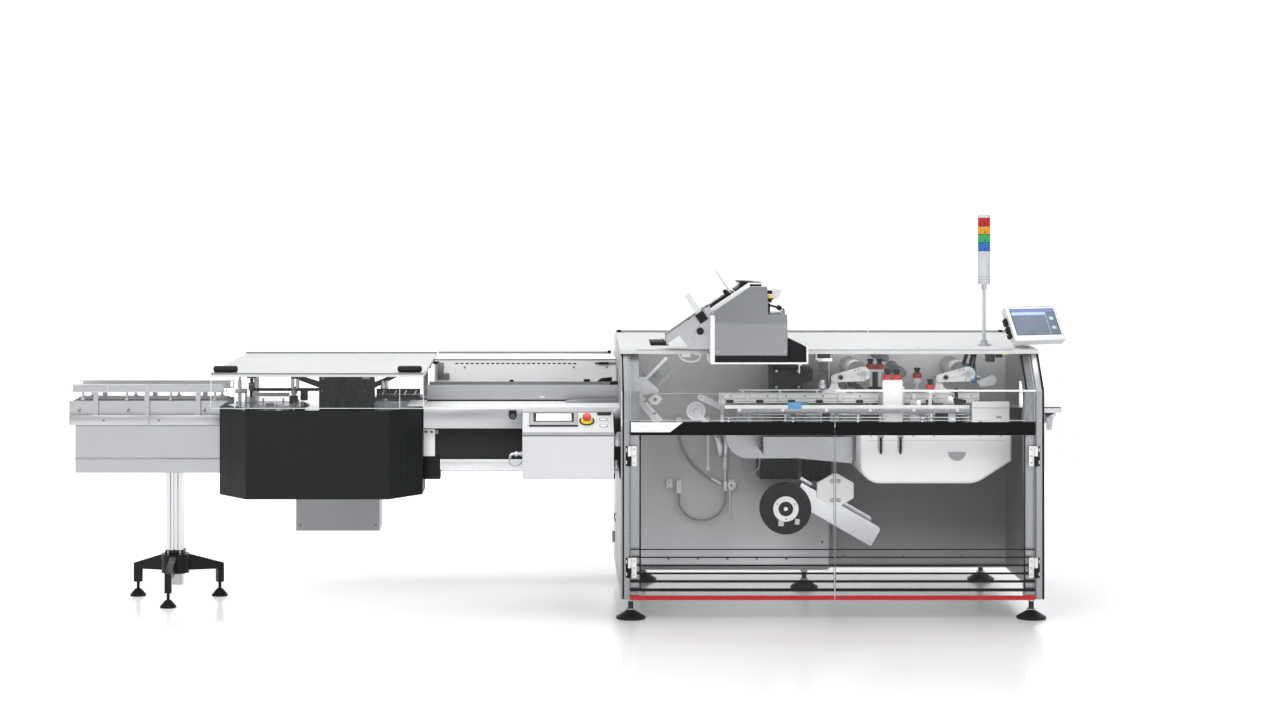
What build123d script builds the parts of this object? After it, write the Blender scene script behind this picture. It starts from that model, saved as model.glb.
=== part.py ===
"""Automatic cartoner: a glazed cartoning cabinet, its leaflet feeder, the bucket
channel that brings the products, the hooded infeed station and its belt.

Millimetres, +Z up, +X along the line towards the outfeed. The origin is on the
floor under the middle of the machine's box. The operator's side faces -Y.
"""

from build123d import *
import math
import os

os.makedirs("parts", exist_ok=True)

# Lengths along the line, which add up to the machine's length, and its depth
conveyor_length = 773
skirt_half_side = 485
middle_length = 943
cabinet_width = 1991
outfeed_reach = 223
machine_depth = 1400
seat_gap = 0.3
moving_gap = 5
running_gap = 0.05

machine_length = conveyor_length + 2 * skirt_half_side + middle_length + cabinet_width + outfeed_reach
machine_left = -machine_length / 2
machine_right = machine_length / 2
front_y = -machine_depth / 2
rear_y = machine_depth / 2
station_left = machine_left + conveyor_length
station_x = station_left + skirt_half_side
station_right = station_x + skirt_half_side
cabinet_left = station_right + middle_length
cabinet_right = cabinet_left + cabinet_width

# Cabinet
frame_bottom = 99
fold_z = 1076
cover_front_z = 1264
cover_rear_z = 1297
cover_thickness = 20
cover_rear_depth = 1000
lean_depth = 150
post_depth = 80
strip_width = 38
flange_width = 50
door_recess = 16
wall_sheet = 4
wall_step_from_left = 1076
wall_step_x = cabinet_left + wall_step_from_left
left_wall_depth = 905
right_wall_depth = 986
wall_plate = 10
housing_top = 1270

# Cabinet doors
door_top = 933
door_band_height = 63
door_bottom = 96
door_rail_height = 20
door_trim = 3
door_pane = 8
hinge_radius = 8
hinge_pin_radius = 4
hinge_height = 94
hinge_leaf = 3
hinge_leaf_reach = 33
hinge_centres = (248, 773)

# Levelling feet
pad_radius = 70
pad_rim = 10
pad_height = 38
stem_radius = 12.5
stem_collar_radius = 24

# Leaflet feeder
feeder_from_left = 441
feeder_width = 342
feeder_step_width = 89
feeder_slope_run = 171
feeder_depth = 258
feeder_bottom = 1245
feeder_shoulder_z = 1451
feeder_step_z = 1436
feeder_top = 1565
feeder_crease_z = 1398
feeder_lean = 70
plinth_bottom = 1213
wedge_width = 98
feeder_frame_bar = 8
feeder_side_bar = 20
feeder_left = cabinet_left + feeder_from_left
feeder_right = feeder_left + feeder_width
feeder_step_x = feeder_right - feeder_step_width
feeder_slope_x = feeder_left + feeder_slope_run
feeder_frame_right = feeder_right + wedge_width

# Light tower
tower_from_right = 224
tower_depth = 350
tower_radius = 30
tower_pole_radius = 8.5
tower_body_bottom = 1566
tower_lens_bottom = 1728
tower_lens_top = 1889
tower_top = 1903
tower_seam = 2
tower_x = cabinet_right - tower_from_right

# Operator panel
panel_width = 284
panel_height = 190
panel_thickness = 36
panel_from_right = 8
panel_depth = 185
panel_z = 1386
panel_yaw = 22
panel_tilt = 32
panel_post_from_right = 57
panel_post_depth = 270
panel_post_radius = 18
panel_pin_radius = 9
panel_x = cabinet_right - panel_from_right
panel_post_x = cabinet_right - panel_post_from_right

# Guide bar and its two parallel arms
arm_depth = 385
arm_thickness = 15
shaft_from_left = 1185
shaft_z = 1130
arm_pitch = 510
pivot_offset_x = -136
pivot_offset_z = -21
arm_root_radius = 36
arm_tip_radius = 19
shaft_pin_radius = 12
pivot_pin_radius = 8
bar_from_left = 492
bar_length = 1257
bar_bottom = 987
bar_top = 1036
bar_depth = 405
bar_thickness = 34
drum_radius = 46
shaft_radius = 22
drum_front_depth = 620
shaft_x = cabinet_left + shaft_from_left
bar_left = cabinet_left + bar_from_left
bar_right = bar_left + bar_length

# Reel
reel_from_left = 815
reel_z = 469
reel_radius = 125
reel_depth = 420
reel_width = 62
reel_ring_outer = 62.6
reel_ring_inner = 38
reel_axle_radius = 12
reel_x = cabinet_left + reel_from_left

# Carton track and what stands on it
track_from_left = 506
track_from_right = 117
track_bottom = 884
track_top = 908
track_front = 260
track_rear = 640
knob_radius = 20.5
knob_body_height = 28
knob_height = 52
track_left = cabinet_left + track_from_left
track_right = cabinet_right - track_from_right

# Right hand cover and trough under the track
tray_from_left = 1151
tray_from_right = 114
tray_bottom = 618
tray_top = 866
tray_front = 210
tray_rear = 720
tray_corner = 95
tray_box_width = 177
tray_box_top = 1009
trough_from_left = 702
trough_length = 431
trough_left_z = 737
trough_right_z = 696
trough_top = 825
trough_front_depth = 380
trough_rear_depth = 640
end_plate_bottom = 692
end_plate_sheet = 8
tray_left = cabinet_left + tray_from_left
tray_right = cabinet_right - tray_from_right
trough_left = cabinet_left + trough_from_left
trough_right = trough_left + trough_length

# Reject chute and the six-sided plate on it
chute_from_left = 851
chute_z = 496
chute_angle = 29.8
chute_length = 449
chute_wide = 103
chute_lip = 18
chute_sheet = 4
plate_from_left = 1065
plate_z = 549
plate_half_width = 89.5
plate_side = 74
plate_apex = 89
plate_thickness = 14

# Outfeed
outfeed_depth = 400
outfeed_width = 180
outfeed_end_gap = 61
outfeed_top = 967
outfeed_bottom = 940
guard_bottom = 690
guard_top = 1096
guard_sheet = 5
outfeed_right = machine_right - outfeed_end_gap

# Infeed station
skirt_half_front = 336
skirt_chamfer_depth = 200
skirt_rear_depth = 470
skirt_bottom = 569
skirt_top = 987
skirt_sheet = 5
deck_z = 940
deck_thickness = 10
frame_floor_z = 640
hood_half = 502
hood_top = 1163
hood_thickness = 18
hood_sheet = 4
hood_side_bottom = 995
hood_hinge_radius = 16
hood_pin_radius = 8
sump_left_reach = 150
sump_right_reach = 259
sump_depths = (500, 700)
sump_bottom = 353
table_from_station = 270
table_radius = 195
table_depth = 420

# Middle section
table_front_depth = 200
table_top = 985
table_sheet = 6
fascia_bottom = 884
channel_front_depth = 533
channel_rear_depth = 750
channel_top = 1065
channel_sheet = 5
beam_front_depth = 300
beam_bottom = 727
beam_top = 872
rail_bottom = 668
rail_depth = 80
rear_cover_depth = 940
chain_pitch = 55
chain_top = 1005
chain_bottom = 917
chain_band = 8
chain_from_station = 192
chain_past_wall = 96
cleat_height = 28
chain_left = station_x + chain_from_station
chain_right = cabinet_left + chain_past_wall

# Control box
box_from_cabinet = 33
box_width = 430
box_bottom = 663
box_shelf_z = 884
box_rear_z = 963
box_depth = 150
stop_from_right = 126
stop_ring_radius = 30
stop_head_radius = 20
stop_travel = 5
box_right = cabinet_left - box_from_cabinet
box_left = box_right - box_width
stop_x = box_right - stop_from_right

# Left conveyor and its stand
conveyor_front_depth = 480
conveyor_rear_depth = 720
conveyor_bottom = 639
conveyor_top = 998
plate_top = 869
strip_top = 924
belt_thickness = 5
stand_from_left = 502
stand_depth = 600
stand_leg_radius = 235
stand_column = 80
stand_pad_radius = 40
stand_x = machine_left + stand_from_left


def deep(near, far):
    """Y limits of a piece that lies between two depths behind the front plane."""
    return (front_y + near, front_y + far)


def block(x, y, z, mode=Mode.ADD):
    """Add a square-edged block between the given limits to the open part."""
    with BuildSketch(Plane.XY.offset(z[0])) as outline:
        with Locations(((x[0] + x[1]) / 2, (y[0] + y[1]) / 2)):
            Rectangle(x[1] - x[0], y[1] - y[0])
    extrude(outline.sketch, amount=z[1] - z[0], mode=mode)


def front_plate(points, y, mode=Mode.ADD):
    """Add a plate whose outline is seen from the front, between two Y limits."""
    plane = Plane(origin=(0, y[1], 0), x_dir=(1, 0, 0), z_dir=(0, -1, 0))
    with BuildSketch(plane) as outline:
        Polygon(*points, align=None)
    extrude(outline.sketch, amount=y[1] - y[0], mode=mode)


def side_plate(points, x, mode=Mode.ADD):
    """Add a plate whose outline is seen from the side, between two X limits."""
    with BuildSketch(Plane.YZ.offset(x[0])) as outline:
        Polygon(*points, align=None)
    extrude(outline.sketch, amount=x[1] - x[0], mode=mode)


def rod(start, end, radius, mode=Mode.ADD):
    """Add a round bar between two points to the open part."""
    run = Vector(*end) - Vector(*start)
    with BuildSketch(Plane(origin=start, z_dir=run)) as section:
        Circle(radius)
    extrude(section.sketch, amount=run.length, mode=mode)


def cover_underside(depth):
    """Height of the top cover's lower face at a depth behind the front plane."""
    rise = (cover_rear_z - cover_front_z) / (cover_rear_depth - lean_depth)
    return cover_front_z - cover_thickness + rise * (depth - lean_depth)


# Front posts: a flush outer strip and a set-back flange that the doors cover

def post_outline(setback):
    """Side outline of a post: upright to the fold, then leaning to the cover."""
    return [
        (front_y + setback, frame_bottom),
        (front_y + setback, fold_z),
        (front_y + lean_depth + setback, cover_underside(lean_depth + setback)),
        (front_y + lean_depth + post_depth, cover_underside(lean_depth + post_depth)),
        (front_y + post_depth, fold_z),
        (front_y + post_depth, frame_bottom),
    ]


with BuildPart() as front_posts:
    for outer, towards in ((cabinet_left, 1), (cabinet_right, -1)):
        strip_edge = outer + towards * strip_width
        flange_edge = strip_edge + towards * flange_width
        side_plate(post_outline(0), sorted((outer, strip_edge)))
        side_plate(post_outline(door_recess), sorted((strip_edge, flange_edge)))
front_posts.part.label = "front_posts"
export_step(front_posts.part, "parts/front_posts.step")

# Side walls, each with the opening that the product or the carton passes
def wall_outline(rear_depth):
    """Side outline of a wall between the post and the back wall."""
    return [
        (front_y + post_depth, frame_bottom),
        (front_y + post_depth, fold_z),
        (front_y + lean_depth + post_depth, cover_underside(lean_depth + post_depth)),
        (front_y + rear_depth, cover_underside(rear_depth)),
        (front_y + rear_depth, frame_bottom),
    ]


infeed_window_y = deep(channel_front_depth - 35, channel_rear_depth + 35)
infeed_window_z = (chain_bottom - 45, channel_top + 75)
outfeed_window_y = deep(outfeed_depth - 45, outfeed_depth + outfeed_width + 45)
outfeed_window_z = (outfeed_bottom - 20, guard_top - 16)

with BuildPart() as side_walls:
    left_wall_x = (cabinet_left, cabinet_left + wall_sheet)
    side_plate(wall_outline(left_wall_depth), left_wall_x)
    block(left_wall_x, infeed_window_y, infeed_window_z, Mode.SUBTRACT)
    right_wall_x = (cabinet_right - wall_sheet, cabinet_right)
    side_plate(wall_outline(right_wall_depth), right_wall_x)
    block(right_wall_x, outfeed_window_y, outfeed_window_z, Mode.SUBTRACT)
side_walls.part.label = "side_walls"
export_step(side_walls.part, "parts/side_walls.step")

# Back walls: the left half stands in front of the right one
back_face_depth = right_wall_depth + wall_plate
back_wall_z = (frame_bottom, cover_underside(left_wall_depth))
with BuildPart() as back_walls:
    block((cabinet_left, wall_step_x), deep(left_wall_depth, back_face_depth), back_wall_z)
    block((wall_step_x, cabinet_right), deep(right_wall_depth, back_face_depth), back_wall_z)
back_walls.part.label = "back_walls"
export_step(back_walls.part, "parts/back_walls.step")

# Rear housing: the closed drive side, with four service doors marked by seams
rear_door_count = 4
rear_seam = 4
with BuildPart() as rear_housing:
    housing_z = (frame_bottom, housing_top)
    block((cabinet_left, cabinet_right), deep(back_face_depth, machine_depth), housing_z)
    vertical_edges = rear_housing.edges().filter_by(Axis.Z).sort_by(Axis.Y)[-2:]
    fillet(vertical_edges, 20)
    rear_door_width = (cabinet_right - cabinet_left - 60) / rear_door_count
    for seam in range(rear_door_count + 1):
        seam_x = cabinet_left + 30 + seam * rear_door_width
        block(
            (seam_x - rear_seam / 2, seam_x + rear_seam / 2),
            (rear_y - rear_seam, rear_y),
            (frame_bottom + 60, housing_top - 60),
            Mode.SUBTRACT,
        )
rear_housing.part.label = "rear_housing"
export_step(rear_housing.part, "parts/rear_housing.step")

# Levelling feet under the posts and the rear housing
front_foot_depth = 60
rear_foot_depth = 1212
foot_places = (
    (cabinet_left + 48, front_foot_depth),
    (cabinet_right - 51, front_foot_depth),
    (wall_step_x - 119, left_wall_depth + 50),
    (cabinet_left + 148, rear_foot_depth),
    (cabinet_right - 93, rear_foot_depth),
)
with BuildPart() as levelling_feet:
    with BuildSketch(Plane.XZ) as foot_profile:
        Polygon(
            (0, 0),
            (pad_radius - 3, 0),
            (pad_radius, pad_rim / 2),
            (pad_radius, pad_rim),
            (stem_collar_radius, pad_height),
            (stem_radius, pad_height),
            (stem_radius, frame_bottom),
            (0, frame_bottom),
            align=None,
        )
    foot = revolve(foot_profile.sketch, Axis.Z, mode=Mode.PRIVATE)
    with Locations(*[(x, front_y + depth, 0) for x, depth in foot_places]):
        add(foot)
levelling_feet.part.label = "levelling_feet"
export_step(levelling_feet.part, "parts/levelling_feet.step")

# Top cover with the feeder's notch, the dark slot, the rolled rear edge and the lamp's rail
cover_lip = 12
slot_x = (cabinet_left + 157, cabinet_left + 235)
slot_depths = (330, 470)
cover_notch_x = (feeder_left - feeder_side_bar - seat_gap, feeder_frame_right + seat_gap)
cover_notch_depth = feeder_depth + seat_gap
cover_roll_radius = 8
rail_depths = (290, 320)
rail_drop = 17
lamp_from_left = 979
lamp_plate = 63
lamp_body = 39
lamp_plate_z = 1204
lamp_bottom = 1117
with BuildPart() as top_cover:
    side_plate(
        [
            (front_y + lean_depth - cover_lip, cover_front_z),
            (front_y + cover_rear_depth, cover_rear_z),
            (front_y + cover_rear_depth, cover_underside(cover_rear_depth)),
            (front_y + lean_depth, cover_underside(lean_depth)),
            (front_y + lean_depth - cover_lip, cover_front_z - cover_thickness),
        ],
        (cabinet_left, cabinet_right),
    )
    block(cover_notch_x, deep(0, cover_notch_depth), (cover_front_z - 60, cover_rear_z), Mode.SUBTRACT)
    block(slot_x, deep(*slot_depths), (cover_front_z - 60, cover_rear_z), Mode.SUBTRACT)
    rod(
        (cabinet_left, front_y + cover_rear_depth, cover_rear_z),
        (cabinet_right, front_y + cover_rear_depth, cover_rear_z),
        cover_roll_radius,
    )
    rail_z = cover_underside(rail_depths[0]) - rail_drop
    block(
        (cabinet_left + strip_width + flange_width, cabinet_right - strip_width - flange_width),
        deep(*rail_depths),
        (rail_z, cover_underside(rail_depths[1]) + 2),
    )
    lamp_x = cabinet_left + lamp_from_left
    for width, low, high in ((lamp_plate, lamp_plate_z, rail_z), (lamp_body, lamp_bottom, lamp_plate_z)):
        block((lamp_x - width / 2, lamp_x + width / 2), deep(*rail_depths), (low, high))
top_cover.part.label = "top_cover"
export_step(top_cover.part, "parts/top_cover.step")

# Upper guards: two clear sheets, upright to the fold and leaning above it
guard_front = door_recess - 8
guard_gap = moving_gap
guard_middle = (cabinet_left + cabinet_right) / 2 + 10.5


def guard_outline():
    """Side outline of the folded clear sheet, of even thickness."""
    inner = door_recess
    return [
        (front_y + guard_front, door_top + guard_gap),
        (front_y + guard_front, fold_z),
        (front_y + lean_depth + guard_front, cover_underside(lean_depth + guard_front)),
        (front_y + lean_depth + inner, cover_underside(lean_depth + inner)),
        (front_y + inner, fold_z),
        (front_y + inner, door_top + guard_gap),
    ]


door_left_x = cabinet_left + strip_width + moving_gap
door_right_x = cabinet_right - strip_width - moving_gap
with BuildPart() as upper_guards:
    side_plate(guard_outline(), (door_left_x, guard_middle - 1))
    side_plate(guard_outline(), (guard_middle + 1, door_right_x))
    notch_z = (plinth_bottom - feeder_frame_bar - seat_gap, cover_front_z)
    block(cover_notch_x, deep(0, cover_notch_depth), notch_z, Mode.SUBTRACT)
upper_guards.part.label = "upper_guards"
export_step(upper_guards.part, "parts/upper_guards.step")

# Lower doors: a clear pane, a black band and a red foot rail on each
door_spans = {
    "left": (door_left_x, guard_middle - moving_gap / 2),
    "right": (guard_middle + moving_gap / 2, door_right_x),
}
pane_y = deep(door_trim, door_trim + door_pane)
band_bottom = door_top - door_band_height
rail_top = door_bottom + door_rail_height

with BuildPart() as lower_left_door:
    block(door_spans["left"], pane_y, (rail_top, door_top))
lower_left_door.part.label = "lower_left_door"
export_step(lower_left_door.part, "parts/lower_left_door.step")

with BuildPart() as lower_right_door:
    block(door_spans["right"], pane_y, (rail_top, door_top))
lower_right_door.part.label = "lower_right_door"
export_step(lower_right_door.part, "parts/lower_right_door.step")

# Hinges: the post's half carries the pin, the door's half turns on it
hinge_axis_y = front_y - hinge_radius
left_hinge_x = door_left_x - moving_gap / 2
right_hinge_x = door_right_x + moving_gap / 2
neck_reach = hinge_radius + 1


def hinge_half(axis_x, towards, reach, seat_y, lower):
    """Add one leaf with its knuckle for each hinge of a door."""
    for centre_z in hinge_centres:
        low = centre_z - hinge_height / 2
        high = centre_z + hinge_height / 2
        knuckle = (low, centre_z - seat_gap) if lower else (centre_z + seat_gap, high)
        neck_x = sorted((axis_x, axis_x + towards * neck_reach))
        leaf_x = sorted((axis_x + towards * neck_reach, axis_x + towards * reach))
        block(leaf_x, (front_y - hinge_leaf, seat_y), (low, high))
        block(neck_x, (front_y - hinge_leaf, front_y), knuckle)
        rod((axis_x, hinge_axis_y, knuckle[0]), (axis_x, hinge_axis_y, knuckle[1]), hinge_radius)


def hinge_bores(axis_x):
    """Bore the knuckles of a door's half for the pin."""
    for centre_z in hinge_centres:
        rod(
            (axis_x, hinge_axis_y, centre_z),
            (axis_x, hinge_axis_y, centre_z + hinge_height / 2),
            hinge_pin_radius + running_gap,
            Mode.SUBTRACT,
        )


def door_fittings(span, axis_x, towards):
    """Add the band, the foot rail and the moving hinge halves of one door."""
    block(span, deep(0, door_trim), (band_bottom, door_top))
    block(span, deep(0, door_trim + door_pane), (door_bottom, rail_top))
    hinge_half(axis_x, towards, hinge_leaf_reach, front_y + door_trim, False)
    hinge_bores(axis_x)


with BuildPart() as left_door_fittings:
    door_fittings(door_spans["left"], left_hinge_x, 1)
left_door_fittings.part.label = "left_door_fittings"
export_step(left_door_fittings.part, "parts/left_door_fittings.step")

with BuildPart() as right_door_fittings:
    door_fittings(door_spans["right"], right_hinge_x, -1)
right_door_fittings.part.label = "right_door_fittings"
export_step(right_door_fittings.part, "parts/right_door_fittings.step")

with BuildPart() as hinge_posts:
    for axis_x, towards in ((left_hinge_x, -1), (right_hinge_x, 1)):
        hinge_half(axis_x, towards, 18, front_y, True)
        for centre_z in hinge_centres:
            rod(
                (axis_x, hinge_axis_y, centre_z - hinge_height / 2),
                (axis_x, hinge_axis_y, centre_z + hinge_height / 2),
                hinge_pin_radius,
            )
hinge_posts.part.label = "hinge_posts"
export_step(hinge_posts.part, "parts/hinge_posts.step")

# Leaflet feeder: a steel housing whose front leans back above a crease, on a black plinth
feeder_y = deep(0, feeder_depth)
with BuildPart() as feeder_housing:
    front_plate(
        [
            (feeder_left, feeder_bottom),
            (feeder_left, feeder_shoulder_z),
            (feeder_slope_x, feeder_top),
            (feeder_step_x, feeder_top),
            (feeder_step_x, feeder_step_z),
            (feeder_right, feeder_step_z),
            (feeder_right, feeder_bottom),
        ],
        feeder_y,
    )
    side_plate(
        [
            (front_y, feeder_crease_z),
            (front_y, feeder_top),
            (front_y + feeder_lean, feeder_top),
        ],
        (feeder_left, feeder_right),
        Mode.SUBTRACT,
    )
feeder_housing.part.label = "feeder_housing"
export_step(feeder_housing.part, "parts/feeder_housing.step")

wedge_left = feeder_right + 6
wedge_right = feeder_frame_right - feeder_frame_bar
with BuildPart() as feeder_plinth:
    block((feeder_left, feeder_right), feeder_y, (plinth_bottom, feeder_bottom))
    front_plate(
        [
            (feeder_right, plinth_bottom),
            (feeder_right, feeder_bottom),
            (wedge_left, feeder_bottom),
            (wedge_left, feeder_bottom + 81),
            (wedge_right - 3, feeder_bottom + 42),
            (wedge_right, plinth_bottom),
        ],
        deep(20, feeder_depth - 20),
    )
feeder_plinth.part.label = "feeder_plinth"
export_step(feeder_plinth.part, "parts/feeder_plinth.step")

# White frame that closes the cover's notch, and its band over the feeder's slope
feeder_pitch = (feeder_top - feeder_shoulder_z) / feeder_slope_run
band_rise = 24
band_foot_x = feeder_left - feeder_side_bar
band_front_depth = feeder_lean + 5


def band_top_z(x):
    """Height of the white band's upper face over the feeder's slope."""
    return feeder_shoulder_z + feeder_pitch * (x - feeder_left) + band_rise


band_bend_x = feeder_left + (feeder_top + feeder_side_bar - feeder_shoulder_z - band_rise) / feeder_pitch
with BuildPart() as feeder_frame:
    block(
        (band_foot_x, feeder_frame_right),
        feeder_y,
        (plinth_bottom - feeder_frame_bar, plinth_bottom),
    )
    block((band_foot_x, feeder_left), feeder_y, (plinth_bottom, feeder_shoulder_z - feeder_side_bar))
    block(
        (wedge_right, feeder_frame_right),
        feeder_y,
        (plinth_bottom, cover_front_z + 22),
    )
    front_plate(
        [
            (band_foot_x, feeder_shoulder_z - feeder_side_bar),
            (feeder_left, feeder_shoulder_z - feeder_side_bar),
            (feeder_left, feeder_shoulder_z),
            (feeder_slope_x, feeder_top),
            (feeder_step_x, feeder_top),
            (feeder_step_x, feeder_top + feeder_side_bar),
            (band_bend_x, feeder_top + feeder_side_bar),
            (band_foot_x, band_top_z(band_foot_x)),
        ],
        deep(band_front_depth, feeder_depth),
    )
feeder_frame.part.label = "feeder_frame"
export_step(feeder_frame.part, "parts/feeder_frame.step")

# Magazine: an inclined trough of two side rails and a floor, on a gusset plate
magazine_from_left = 216
magazine_foot_x = cabinet_left + magazine_from_left
magazine_foot_z = 1296
magazine_head_x = feeder_left - feeder_side_bar
magazine_slope = (feeder_shoulder_z - magazine_foot_z) / (feeder_left - magazine_foot_x)
magazine_head_z = magazine_foot_z + magazine_slope * (magazine_head_x - magazine_foot_x)
magazine_rail_height = 42
magazine_sheet = 6
magazine_y = deep(40, feeder_depth - 40)


def magazine_band(low, high, y):
    """Add a sloping band of the magazine between two heights over its floor."""
    front_plate(
        [
            (magazine_foot_x, magazine_foot_z + low),
            (magazine_head_x, magazine_head_z + low),
            (magazine_head_x, magazine_head_z + high),
            (magazine_foot_x, magazine_foot_z + high),
        ],
        y,
    )


with BuildPart() as magazine_arm:
    magazine_band(0, magazine_sheet, magazine_y)
    magazine_band(0, magazine_rail_height, (magazine_y[0], magazine_y[0] + magazine_sheet))
    magazine_band(0, magazine_rail_height, (magazine_y[1] - magazine_sheet, magazine_y[1]))
    front_plate(
        [
            (magazine_head_x, cover_front_z + 10),
            (magazine_head_x, magazine_head_z),
            (magazine_foot_x + 60, magazine_foot_z + 60 * magazine_slope),
            (magazine_foot_x + 110, cover_front_z + 10),
        ],
        (magazine_y[0], magazine_y[0] + magazine_sheet),
    )
magazine_arm.part.label = "magazine_arm"
export_step(magazine_arm.part, "parts/magazine_arm.step")

# What is clamped to the magazine and the feeder: carriage, knob, roller bar, cap and latch
magazine_angle = math.atan(magazine_slope)
carriage_run = 187
carriage_length = 43
carriage_drop = 12
carriage_rise = 36
carriage_thickness = 12
guide_width = 30
guide_height = 102
guide_sheet = 5
feeder_angle = math.atan(feeder_pitch)


def slope_plane(x, y, z, angle):
    """Plane that faces the front, with its X axis up a slope that starts at a point."""
    return Plane(origin=(x, y, z), x_dir=(math.cos(angle), 0, math.sin(angle)), z_dir=(0, -1, 0))


def slope_block(plane, run, rise, thickness):
    """Add a block to a slope plane between two runs and two rises, reaching forwards."""
    with BuildSketch(plane) as outline:
        with Locations(((run[0] + run[1]) / 2, (rise[0] + rise[1]) / 2)):
            Rectangle(run[1] - run[0], rise[1] - rise[0])
    extrude(outline.sketch, amount=thickness)


rail_face = slope_plane(magazine_foot_x, magazine_y[0], magazine_foot_z, magazine_angle)
band_seat = slope_plane(band_foot_x, front_y + 160, band_top_z(band_foot_x), feeder_angle)
carriage_end = carriage_run + carriage_length
clamp_knob = (magazine_head_x - 46, 1358)
clamp_knob_radius = 16.5
clamp_knob_reach = 18
roller_radius = 11
roller_run = 108
roller_bar_rise = 14
roller_bar_depth = 80
cap_rise = 5
cap_start_x = feeder_left + 105
cap_end_x = feeder_left + 188
latch_z = (1443, 1486)
with BuildPart() as magazine_fittings:
    carriage_rises = (-carriage_drop, carriage_rise)
    slope_block(rail_face, (carriage_run, carriage_end), carriage_rises, carriage_thickness)
    knob_base = Vector(clamp_knob[0], magazine_y[0], clamp_knob[1])
    rod(tuple(knob_base), tuple(knob_base - Vector(0, clamp_knob_reach, 0)), clamp_knob_radius)
    slope_block(band_seat, (-8, roller_run + roller_radius), (0, roller_bar_rise), roller_bar_depth)
    with BuildSketch(band_seat) as roller_section:
        with Locations((roller_run, roller_bar_rise + roller_radius - 2)):
            Circle(roller_radius)
    extrude(roller_section.sketch, amount=roller_bar_depth)
    front_plate(
        [
            (cap_start_x, band_top_z(cap_start_x)),
            (band_bend_x, feeder_top + feeder_side_bar),
            (cap_end_x, feeder_top + feeder_side_bar),
            (cap_end_x, feeder_top + feeder_side_bar + cap_rise),
            (band_bend_x - 20, feeder_top + feeder_side_bar + cap_rise),
            (cap_start_x, band_top_z(cap_start_x) + cap_rise * 2),
        ],
        deep(band_front_depth + 5, feeder_depth - 30),
    )
    block((feeder_step_x, feeder_step_x + 15), deep(90, 130), latch_z)
magazine_fittings.part.label = "magazine_fittings"
export_step(magazine_fittings.part, "parts/magazine_fittings.step")

# Clear guides: one stands on the carriage, one on the band over the feeder's slope
band_guide_run = 122
band_guide_height = 128
band_guide_width = 8
with BuildPart() as magazine_guides:
    guide_foot = (carriage_run + 9, carriage_run + 9 + guide_width)
    guide_face = rail_face.offset(3)
    slope_block(guide_face, guide_foot, (carriage_rise, carriage_rise + guide_height), guide_sheet)
    slope_block(band_seat, (band_guide_run, band_guide_run + band_guide_width), (0, band_guide_height), 60)
magazine_guides.part.label = "magazine_guides"
export_step(magazine_guides.part, "parts/magazine_guides.step")

# Light tower: foot flange, pole, body and the four lenses with their cap
tower_y = front_y + tower_depth
tower_foot = cover_underside(tower_depth) + cover_thickness
lens_count = 4
lens_pitch = (tower_lens_top - tower_lens_bottom) / lens_count
with BuildPart() as light_tower_body:
    with BuildSketch(Plane.XZ) as tower_profile:
        with BuildLine():
            Polyline(
                (0, tower_foot + 2),
                (22, tower_foot + 2),
                (22, tower_foot + 10),
                (tower_pole_radius, tower_foot + 14),
                (tower_pole_radius, tower_body_bottom - 10),
                (16, tower_body_bottom),
                (tower_radius, tower_body_bottom),
                (tower_radius, tower_lens_bottom),
                (tower_radius - 8, tower_lens_bottom),
                (tower_radius - 8, tower_lens_top),
                (tower_radius, tower_lens_top),
                (tower_radius - 3, tower_top),
                (0, tower_top),
                close=True,
            )
        make_face()
    tower_turned = revolve(tower_profile.sketch, Axis.Z, mode=Mode.PRIVATE)
    with Locations((tower_x, tower_y, 0)):
        add(tower_turned)
light_tower_body.part.label = "light_tower_body"
export_step(light_tower_body.part, "parts/light_tower_body.step")

with BuildPart() as light_tower_lenses:
    for number in range(lens_count):
        lens_low = tower_lens_bottom + number * lens_pitch + tower_seam / 2
        with BuildSketch(Plane.XY.offset(lens_low)) as lens_section:
            with Locations((tower_x, tower_y)):
                Circle(tower_radius)
                Circle(tower_radius - 8, mode=Mode.SUBTRACT)
        extrude(lens_section.sketch, amount=lens_pitch - tower_seam)
light_tower_lenses.part.label = "light_tower_lenses"
export_step(light_tower_lenses.part, "parts/light_tower_lenses.step")

# Operator panel on a swivel post at the cabinet's right front corner
panel_post_y = front_y + panel_post_depth
panel_post_foot = cover_underside(panel_post_depth) + cover_thickness
panel_post_top = panel_post_foot + 34
with BuildPart() as operator_panel_post:
    block(
        (panel_post_x - 34, panel_post_x + 34),
        (panel_post_y - 34, panel_post_y + 34),
        (panel_post_foot + 2, panel_post_foot + 8),
    )
    rod(
        (panel_post_x, panel_post_y, panel_post_foot + 8),
        (panel_post_x, panel_post_y, panel_post_top),
        panel_post_radius,
    )
    rod(
        (panel_post_x, panel_post_y, panel_post_top),
        (panel_post_x, panel_post_y, panel_post_top + 34),
        panel_pin_radius,
    )
operator_panel_post.part.label = "operator_panel_post"
export_step(operator_panel_post.part, "parts/operator_panel_post.step")

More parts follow.
